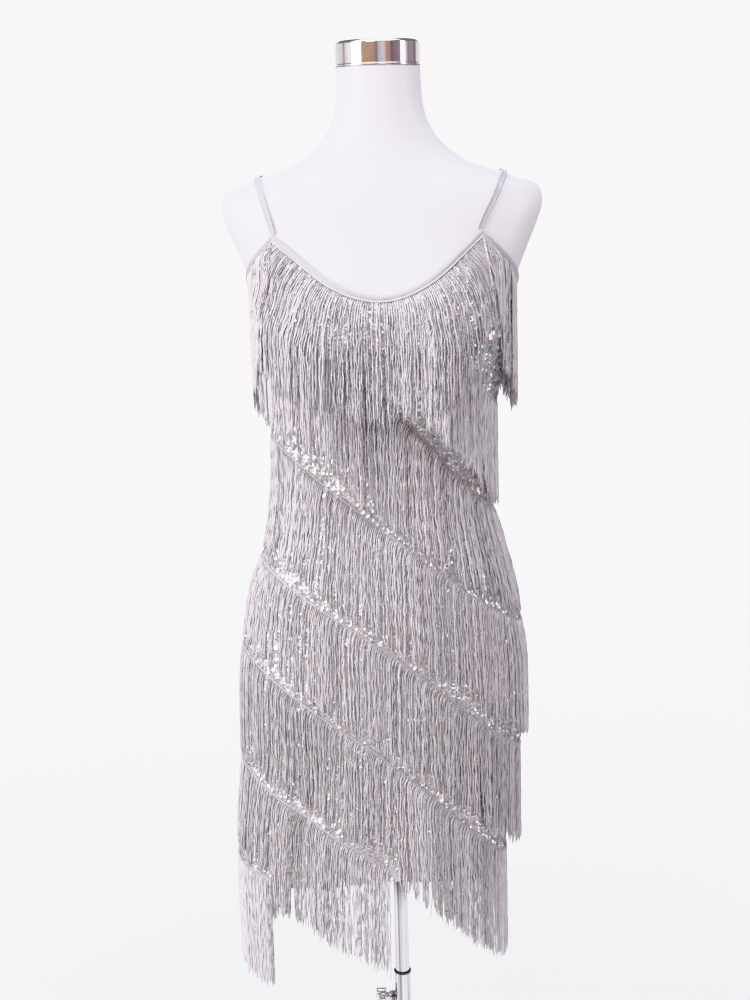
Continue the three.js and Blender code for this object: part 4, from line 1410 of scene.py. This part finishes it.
def strand_tubes(rng, paths, thick, tone, warmth):
    """Twisted three-sided tubes round centre lines, with tapered ends."""
    count, steps = paths.shape[:2]
    tangent = unit(np.gradient(paths, axis=1))
    outwards = paths * np.array([1, 1, 0])
    outwards = unit(outwards - np.sum(outwards * tangent, -1, keepdims=True) * tangent)
    side = np.cross(tangent, outwards)
    lengths = np.linalg.norm(np.diff(paths, axis=1), axis=2)
    along = np.concatenate([np.zeros((count, 1)), np.cumsum(lengths, axis=1)], axis=1)
    spin = rng.uniform(0, TURN, (count, 1))
    spin = spin + along * STRAND_TWIST * rng.choice([-1, 1], (count, 1))
    taper = np.ones(steps)
    taper[0] = ROOT_THICKNESS
    taper[-2:] = TIP_THICKNESS
    radius = thick[:, None] * rng.normal(1, SLUB, (count, steps)) * taper
    phase = (spin[..., None] + np.arange(STRAND_SIDES) * TURN / STRAND_SIDES)[..., None]
    circle = np.cos(phase) * outwards[:, :, None] + np.sin(phase) * side[:, :, None]
    points = paths[:, :, None] + circle * radius[..., None, None]

    corners = lattice(steps, STRAND_SIDES, closed=True)
    size = steps * STRAND_SIDES
    local = corners[..., 0] * STRAND_SIDES + corners[..., 1] % STRAND_SIDES
    first = np.arange(count)[:, None, None] * size
    quads = (local[None] + first).reshape(-1, 4)
    around = np.broadcast_to(corners[..., 1] / STRAND_SIDES, (count, *local.shape))
    down = along[:, corners[..., 0]] + rng.uniform(0, YARN_LENGTH, (count, 1, 1))
    uvs = np.stack([around, down], -1).reshape(-1, 2)
    top = np.arange(STRAND_SIDES)[::-1][None]
    tip = (np.arange(STRAND_SIDES) + size - STRAND_SIDES)[None]
    ends = np.concatenate([top + first[:, 0], tip + first[:, 0]])
    uvs = np.concatenate([uvs, np.zeros((ends.size, 2))])
    marks = {"tone": np.repeat(tone, size), "warmth": np.repeat(warmth, size)}
    return points.reshape(-1, 3), [quads, ends], uvs, marks


def finished_strands(rng, paths, shade=1):
    """Tubes whose shades drift along a row, each strand a little off its neighbours."""
    count = len(paths)
    thick = settings().strand_diameter / 2 * rng.uniform(*THICKNESS_SHARES, count)
    warmth = np.clip(rng.normal(*WARMTH, count), 0, 1)
    drift = drifting(rng, count, SHADE_EVERY, -SHADE_DRIFT, SHADE_DRIFT)
    tone = np.clip(1 + drift + rng.normal(0, SHADE_SCATTER, count), *SHADE_LIMITS)
    # shade is painted shade and light over a whole row, scaling its strands' tones.
    return strand_tubes(rng, paths, thick, tone * shade, warmth)


def add_fringe(name, layers, node):
    add_piece(build_mesh(name, *joined(layers)), fringe_yarn(), "fringe", "form", node)


# The two layers of a diagonal row, one from under the tape and one over it: drop of the roots
# below the tape's top edge, distance off the dress and the same at the roots, share of the row
# that is thin and share of the strands lost there, and how soon a strand hangs plumb.
ROW_LAYERS = (
    (9.6 * MM, 2.4 * MM, 1.7 * MM, 0.2, 0.2, 3 * MM),
    (1.8 * MM, 4.1 * MM, 3.5 * MM, 0.35, 0.42, 4.5 * MM),
)
ROW_LOSS = 0.04  # share of the strands lost where a row is dense
ROOT_SCATTER, OFF_SCATTER = 0.3 * MM, 0.35 * MM
HIP_Z = 0.9  # where the roots' scatter along a row is turned into angles
LEAVE_TAPE = 14 * MM  # how far down a strand gets away from its tape
# Gap under the strands that end short of the next trim: the least, limits of the scale of what
# is added to it, strands between that scale's turning points, and shape of its spread.
END_GAP, END_REACH, REACH_EVERY, REACH_SHAPE = 2 * MM, (2.5 * MM, 11 * MM), 16, 2.0
# Tape left without strands at the end that meets the hem.
BARE_ENDS = {"row_7": 9 * MM}
# Stretches in front whose strands end higher and show more sequins: row, middle and reach in
# degrees, and mean lift.
SHORT_STRETCHES = (
    ("row_3", -33, 17, 10 * MM),
    ("row_4", -56, 13, 6 * MM),
    ("row_4", 51, 22, 14 * MM),
    ("row_5", 43, 26, 14 * MM),
)
# Painted shade and light on some rows, as multipliers of their yarn's tone at the wearer's right
# and at the left: below 1 darkens, above 1 lightens.
ROW_PAINTED_SHADES = {
    "row_4": (0.97, 0.95), "row_5": (0.93, 0.90), "row_6": (0.78, 1.0), "row_7": (0.84, 1.2),
}


def build_fringe():
    """Two layers of strands on each diagonal row: one over the tape and one from under it."""
    for number, trim in enumerate(trims):
        following = trims[number + 1] if number + 1 < len(trims) else None
        for half in HALVES:
            if trim.shows(half):
                rng = np.random.default_rng(200 + number * 2 + (half == "back"))
                layers = [row_layer(rng, trim, following, half, *layer) for layer in ROW_LAYERS]
                name = f"fringe_{trim.number}_{half}"
                add_fringe(name, layers, f"fringe_{trim.name}_{half}")


def row_layer(rng, trim, following, half, drop, off, root, thin, loss, settle):
    """One layer of strands on one half of a diagonal row."""
    stretch = trim.stretch(half)
    angles, slopes = spaced(stretch, trim.height(stretch), settings().strand_pitch)
    keep = thinned(rng, len(angles), thin, ROW_LOSS, loss)
    if half == "front":
        last = stretch[-1]
        keep &= angles < last - BARE_ENDS.get(trim.name, 0) / dress.radius(last, trim.height(last))
    angles, slopes = angles[keep], slopes[keep]
    angles = angles + rng.normal(0, ROOT_SCATTER, len(angles)) / dress.radius(angles, HIP_Z)
    heights = trim.height(angles) - drop
    ends = row_ends(rng, trim, following, angles, slopes)
    if half == "front":
        ends = ends + short_stretches(rng, trim.name, angles)
    offs = off + rng.normal(0, OFF_SCATTER, (len(angles), 1))

    def stand_off(fallen, _):
        return eased(root, offs, fallen / LEAVE_TAPE)

    paths = hang_strands(rng, angles, heights, slopes, ends, settle, stand_off)
    # Painted shade and light along the row, eased from the wearer's right to the left.
    shade = np.interp(np.sin(angles), (-1, 1), ROW_PAINTED_SHADES.get(trim.name, (1, 1)))
    return finished_strands(rng, paths, shade)


def row_ends(rng, trim, following, angles, slopes):
    """Heights at which a diagonal row's strands end: free, or short of the next trim."""
    free = trim.height(angles) - trim.length
    ends = free + rng.normal(0, settings().strand_ragged, len(angles))
    if following is None:
        return ends
    settled = angles + slopes * ROW_LAYERS[0][-1] / dress.radius(angles, free)
    line = following.height(settled)
    covered = following.lies(settled) & (line + STRIP > free)
    reach = drifting(rng, len(angles), REACH_EVERY, *END_REACH)
    short = line + END_GAP + rng.gamma(REACH_SHAPE, 1, len(angles)) * reach
    return np.where(covered, np.maximum(short, free), ends)


def short_stretches(rng, name, angles):
    """How much higher a row's strands end, at each angle."""
    total = np.zeros(len(angles))
    for row, middle, reach, lift in SHORT_STRETCHES:
        if row == name:
            bump = smooth_bump(np.degrees(angles), middle, reach)
            total += lift * rng.uniform(0, 2, len(angles)) * bump
    return total


# The two layers of the top row: distance off the dress, and share of the strands lost where the
# row is dense.
TOP_LAYERS = ((2.6 * MM, 0.12), (4.8 * MM, 0.04))
TOP_THIN, TOP_THIN_LOSS = 0.45, 0.42
TOP_ROOT, TOP_ROOT_RISE, TOP_SCATTER = 1.5 * MM, 0.8 * MM, 0.5 * MM
TOP_SEAM_GAP = 0.1  # degrees between the row's end and the side seam
TOP_SAMPLES = 1200  # points of the line that the row is spaced along
TOP_RAGGED = 1.4  # times as ragged as the other rows
ARMHOLE_SLOPE = 0.12  # share of the armholes' slope that their strands follow
TOP_SETTLE = (7 * MM, 17 * MM)  # how soon a strand hangs plumb, in the middle and at the corners
SETTLE_FROM = 0.375  # share of the way to a corner past which that changes
LEAVE_BINDING = 16 * MM
OVER_ROWS = 6 * MM  # how much further off the dress it hangs over other rows
OVER_FROM = 6 * MM  # how far above their trims that begins
# The wearer's left of the top row: a lock of strands that ends higher and lets the sequins show.
LIFTED_AT, LIFTED_WIDTH, LIFTED_BY = 51, 12, 45 * MM


def build_top_fringe():
    """The top row, which hangs from the bindings over the rows that it covers."""
    for half, span in HALVES.items():
        rng = np.random.default_rng(300 + (half == "back"))
        line = np.radians(np.linspace(span[0] + TOP_SEAM_GAP, span[1] - TOP_SEAM_GAP, TOP_SAMPLES))
        layers = [top_layer(rng, half, line, *layer) for layer in TOP_LAYERS]
        add_fringe(f"fringe_1_{half}", layers, f"fringe_row_1_{half}")


def top_layer(rng, half, line, off, loss):
    """One layer of strands on one half of the top row."""
    angles, slopes = spaced(line, top_edge(line), settings().top_pitch)
    keep = thinned(rng, len(angles), TOP_THIN, loss, TOP_THIN_LOSS)
    angles, slopes = angles[keep], slopes[keep]
    turn = np.degrees(np.abs(wrap(angles - np.radians(WORN_TURN))))
    on_neck = (turn < FRONT_CORNER) | (turn > BACK_CORNER)
    slopes = np.where(on_neck, slopes, slopes * ARMHOLE_SLOPE)
    corner = np.where(turn < 90, turn / FRONT_CORNER, (180 - turn) / (180 - BACK_CORNER))
    settle = eased(*TOP_SETTLE, (corner[:, None] - SETTLE_FROM) / (1 - SETTLE_FROM))
    heights = top_edge(angles) + TOP_ROOT_RISE
    ragged = settings().strand_ragged * TOP_RAGGED
    ends = heights - TOP_LENGTH + rng.normal(0, ragged, len(angles))
    if half == "front":
        ends = ends + LIFTED_BY * smooth_bump(np.degrees(angles), LIFTED_AT, LIFTED_WIDTH)
    offs = off + rng.normal(0, TOP_SCATTER, (len(angles), 1))
    lines = [np.where(trim.lies(angles), trim.height(angles), 0) for trim in trims[:2]]
    covers_from = np.max(lines, axis=0)[:, None] + OVER_FROM

    def stand_off(fallen, z):
        over = (covers_from - z) / LEAVE_BINDING
        return eased(TOP_ROOT, offs, fallen / LEAVE_BINDING) + eased(0, OVER_ROWS, over)

    paths = hang_strands(rng, angles, heights, slopes, ends, settle, stand_off)
    return finished_strands(rng, paths)


# ------------------------------------------------------------------ studio

# The studio is a round floor that curves up into a wall. The paper glows towards the wall.
FLOOR_RADIUS, COVE_RADIUS, WALL_TOP = 3.5, 1.5, 4.5
REAL_FLOOR = 1.2  # past this the paper is only seen: it gets in the way of no light
GLOW_FROM, GLOW_TO = 0.6, 2.6
NEAR_GLOW, FAR_GLOW, GLOW_LOST_PER_METRE = 0.29, 1.05, 0.06
STUDIO_SIDES, FLOOR_RINGS, COVE_RINGS = 120, 40, 25
FLOOR_CENTRE = 0.05  # radius of the disc in the floor's middle


def add_to_stage(name, data):
    """Adds an object that belongs to the studio."""
    thing = bpy.data.objects.new(name, data)
    bpy.context.scene.collection.objects.link(thing)
    return thing


def build_backdrop():
    """A paper floor and the round wall that it curves up into."""
    floor = [(r, 0) for r in np.linspace(FLOOR_CENTRE, REAL_FLOOR, FLOOR_RINGS)]
    wall = [(REAL_FLOOR, 0)]
    for t in np.linspace(0, np.pi / 2, COVE_RINGS):
        wall.append((FLOOR_RADIUS + COVE_RADIUS * np.sin(t), COVE_RADIUS * (1 - np.cos(t))))
    wall.append((FLOOR_RADIUS + COVE_RADIUS, WALL_TOP))
    around = np.linspace(0, TURN, STUDIO_SIDES, endpoint=False)
    for name, profile in (("floor", floor), ("surround", wall)):
        radius, height = np.array(profile).T[:, :, None]
        points = point_at(around, radius, height).reshape(-1, 3)
        corners = lattice(len(profile), STUDIO_SIDES, closed=True)
        faces = [corners[..., 0] * STUDIO_SIDES + corners[..., 1] % STUDIO_SIDES]
        if name == "floor":
            faces.append(np.arange(STUDIO_SIDES)[None])
        glow = eased(NEAR_GLOW, FAR_GLOW, (radius - GLOW_FROM) / (GLOW_TO - GLOW_FROM))
        glow = glow - GLOW_LOST_PER_METRE * height
        mesh = build_mesh(name, points, faces, marks={"glow": np.repeat(glow, STUDIO_SIDES)})
        mesh.materials.append(backdrop_paper())
        paper = add_to_stage(name, mesh)
        if name == "surround":
            paper.visible_diffuse = False
            paper.visible_glossy = False
            paper.visible_shadow = False


# Softly edged bands of the room round the studio: azimuth from the front in degrees towards +X,
# and colour. Bright ones are windows and lamps, and dark ones furniture.
ROOM = (
    (-180, (0.80, 0.80, 0.82)),
    (-112, (0.80, 0.78, 0.80)),
    (-104, (0.55, 0.30, 0.38)),
    (-97, (0.95, 0.90, 0.92)),
    (-80, (1.30, 1.28, 1.28)),
    (-46, (0.85, 0.76, 0.76)),
    (-41, (0.78, 0.44, 0.26)),
    (-18, (0.80, 0.42, 0.24)),
    (-9, (0.62, 0.38, 0.34)),
    (-2, (0.36, 0.20, 0.22)),
    (3, (0.90, 0.80, 0.92)),
    (18, (1.10, 1.00, 1.10)),
    (23, (0.78, 0.40, 0.26)),
    (33, (0.74, 0.34, 0.24)),
    (37, (0.24, 0.11, 0.14)),
    (48, (0.34, 0.22, 0.28)),
    (62, (0.40, 0.28, 0.34)),
    (68, (0.90, 0.84, 0.90)),
    (84, (0.90, 0.84, 0.90)),
    (90, (0.36, 0.28, 0.32)),
    (108, (0.42, 0.34, 0.38)),
    (122, (0.22, 0.12, 0.17)),
    (130, (0.80, 0.76, 0.78)),
    (180, (0.80, 0.80, 0.82)),
)
ROOM_SCALE = 1.7  # the ramp holds colours up to 1, so they are divided by this and scaled back
ROOM_STRENGTH = 0.95
CEILING = (0.108, 0.123, 0.127, 1)
FADE_FROM, FADE_TO = 0.08, 0.24  # rise of a direction over which the bands give way


def build_room():
    world = bpy.data.worlds.new("room")
    bpy.context.scene.world = world
    world.use_nodes = True
    graph = Graph(world.node_tree)
    split = graph.split(graph.add("ShaderNodeTexCoord").outputs["Generated"])
    azimuth = graph.math("ARCTAN2", split["X"], graph.math("MULTIPLY", split["Y"], -1))
    place = graph.math("MULTIPLY_ADD", azimuth, 1 / TURN, 0.5)
    stops = [((turn + 180) / 360, [c / ROOM_SCALE for c in colour]) for turn, colour in ROOM]
    bands = graph.ramp(place, *stops)
    high = graph.math("SMOOTH_MAX", graph.math("ABSOLUTE", split["Z"]), 0, 0.05)
    inputs = {"Value": high, "From Min": FADE_FROM, "From Max": FADE_TO}
    fade = graph.add("ShaderNodeMapRange", inputs).outputs["Result"]
    mixer = graph.add("ShaderNodeMix", {0: fade, 6: bands, 7: CEILING}, data_type="RGBA")
    background = world.node_tree.nodes["Background"]
    graph.feed(background.inputs["Color"], mixer.outputs[2])
    graph.feed(background.inputs["Strength"], ROOM_SCALE * ROOM_STRENGTH)


# Soft boxes: name, place and aim in metres, size, power in watts and colour.
LAMPS = (
    ("key", (-2.17, -1.25, 2.05), (0, 0, 1.15), (1.2, 1.8), 47, (1.0, 0.99, 1.0)),
    ("fill", (2.42, -0.79, 1.60), (0, 0, 1.00), (0.55, 1.8), 12, (1.0, 0.92, 0.94)),
    ("front", (-0.80, -2.30, 2.60), (0, 0, 1.15), (1.1, 1.1), 7, (1.0, 0.99, 1.0)),
    ("overhead", (0, -0.40, 3.10), (0, 0.20, 1.00), (2.2, 2.3), 27, (1.0, 1.0, 1.0)),
    ("back", (0, 3.00, 2.15), (0, 0, 1.45), (1.8, 0.8), 14, (1.0, 1.0, 1.0)),
)


def build_lamps():
    for name, place, aim, size, power, colour in LAMPS:
        light = bpy.data.lights.new(name, "AREA")
        light.shape = "RECTANGLE"
        light.size, light.size_y = size
        light.energy = power
        light.color = colour
        lamp = add_to_stage(name, light)
        lamp.location = place
        lamp.visible_camera = False
        direction = Vector(aim) - Vector(place)
        lamp.rotation_euler = direction.to_track_quat("-Z", "Y").to_euler()


def build_camera():
    data = bpy.data.cameras.new("camera")
    data.sensor_fit = "VERTICAL"
    data.sensor_height = 36
    data.lens = CAMERA_LENS
    data.clip_end = 50
    camera = add_to_stage("camera", data)
    turn, tilt = CAMERA_TURN, CAMERA_TILT
    right = Vector((np.cos(turn), -np.sin(turn), 0))
    ahead = Vector((np.cos(tilt) * np.sin(turn), np.cos(tilt) * np.cos(turn), -np.sin(tilt)))
    up = right.cross(ahead)
    x = right * np.cos(CAMERA_ROLL) - up * np.sin(CAMERA_ROLL)
    y = right * np.sin(CAMERA_ROLL) + up * np.cos(CAMERA_ROLL)
    facing = Matrix((x, y, -ahead)).transposed().to_4x4()
    camera.matrix_world = Matrix.Translation(CAMERA_PLACE) @ facing
    bpy.context.scene.camera = camera


def build_stage():
    build_backdrop()
    build_room()
    build_lamps()
    build_camera()
    view = bpy.context.scene.view_settings
    view.view_transform = "Khronos PBR Neutral"
    view.look = "None"
    view.exposure = 0.33


# ------------------------------------------------------------------ operators and panel


class FRINGED_DRESS_OT_stage(bpy.types.Operator):
    """Backdrop, room light, soft boxes and camera"""

    bl_idname = "fringed_dress.stage"
    bl_label = "Studio"

    def execute(self, context):
        build_stage()
        return {"FINISHED"}


class FRINGED_DRESS_OT_stand(bpy.types.Operator):
    """Base plate, pole, bush, clamp knob and socket"""

    bl_idname = "fringed_dress.stand"
    bl_label = "Stand"

    def execute(self, context):
        build_stand()
        return {"FINISHED"}


class FRINGED_DRESS_OT_form(bpy.types.Operator):
    """Torso shell and neck cap"""

    bl_idname = "fringed_dress.form"
    bl_label = "Dress Form"

    def execute(self, context):
        build_form()
        return {"FINISHED"}


class FRINGED_DRESS_OT_bindings(bpy.types.Operator):
    """Satin bindings of the neckline, armholes and back"""

    bl_idname = "fringed_dress.bindings"
    bl_label = "Bindings"

    def execute(self, context):
        build_bindings()
        return {"FINISHED"}


class FRINGED_DRESS_OT_straps(bpy.types.Operator):
    """Ribbon straps over both shoulders"""

    bl_idname = "fringed_dress.straps"
    bl_label = "Straps"

    def execute(self, context):
        build_straps()
        return {"FINISHED"}


class FRINGED_DRESS_OT_sequins(bpy.types.Operator):
    """Sequins of the front and back panels"""

    bl_idname = "fringed_dress.sequins"
    bl_label = "Sequins"

    def execute(self, context):
        build_sequins()
        return {"FINISHED"}


class FRINGED_DRESS_OT_tapes(bpy.types.Operator):
    """Header tapes of the diagonal rows"""

    bl_idname = "fringed_dress.tapes"
    bl_label = "Header Tapes"

    def execute(self, context):
        build_tapes()
        return {"FINISHED"}


class FRINGED_DRESS_OT_fringe(bpy.types.Operator):
    """Strands of the top row and the diagonal rows"""

    bl_idname = "fringed_dress.fringe"
    bl_label = "Fringe"

    def execute(self, context):
        build_top_fringe()
        build_fringe()
        return {"FINISHED"}


class FRINGED_DRESS_OT_panels(bpy.types.Operator):
    """Front and back panels of net"""

    bl_idname = "fringed_dress.panels"
    bl_label = "Panels"

    def execute(self, context):
        build_panels()
        return {"FINISHED"}


OPERATORS = (
    FRINGED_DRESS_OT_stage,
    FRINGED_DRESS_OT_stand,
    FRINGED_DRESS_OT_form,
    FRINGED_DRESS_OT_bindings,
    FRINGED_DRESS_OT_straps,
    FRINGED_DRESS_OT_sequins,
    FRINGED_DRESS_OT_tapes,
    FRINGED_DRESS_OT_fringe,
    FRINGED_DRESS_OT_panels,
)


class FRINGED_DRESS_PT_sidebar(bpy.types.Panel):
    """Lists the pieces of the dress and its settings."""

    bl_idname = "FRINGED_DRESS_PT_sidebar"
    bl_label = "Fringed Dress"
    bl_space_type = "VIEW_3D"
    bl_region_type = "UI"
    bl_category = "Fringed Dress"

    def draw(self, context):
        for operator in OPERATORS:
            self.layout.operator(operator.bl_idname)
        for name in FringedDressSettings.__annotations__:
            self.layout.prop(context.scene.fringed_dress, name)


CLASSES = (FringedDressSettings, *OPERATORS, FRINGED_DRESS_PT_sidebar)


def register():
    for item in CLASSES:
        bpy.utils.register_class(item)
    bpy.types.Scene.fringed_dress = bpy.props.PointerProperty(type=FringedDressSettings)


def unregister():
    del bpy.types.Scene.fringed_dress
    for item in reversed(CLASSES):
        bpy.utils.unregister_class(item)


def main():
    register()
    bpy.ops.fringed_dress.stage()
    bpy.ops.fringed_dress.stand()
    bpy.ops.fringed_dress.form()
    bpy.ops.fringed_dress.bindings()
    bpy.ops.fringed_dress.straps()
    bpy.ops.fringed_dress.sequins()
    bpy.ops.fringed_dress.tapes()
    bpy.ops.fringed_dress.fringe()
    bpy.ops.fringed_dress.panels()


if __name__ == "__main__":
    main()
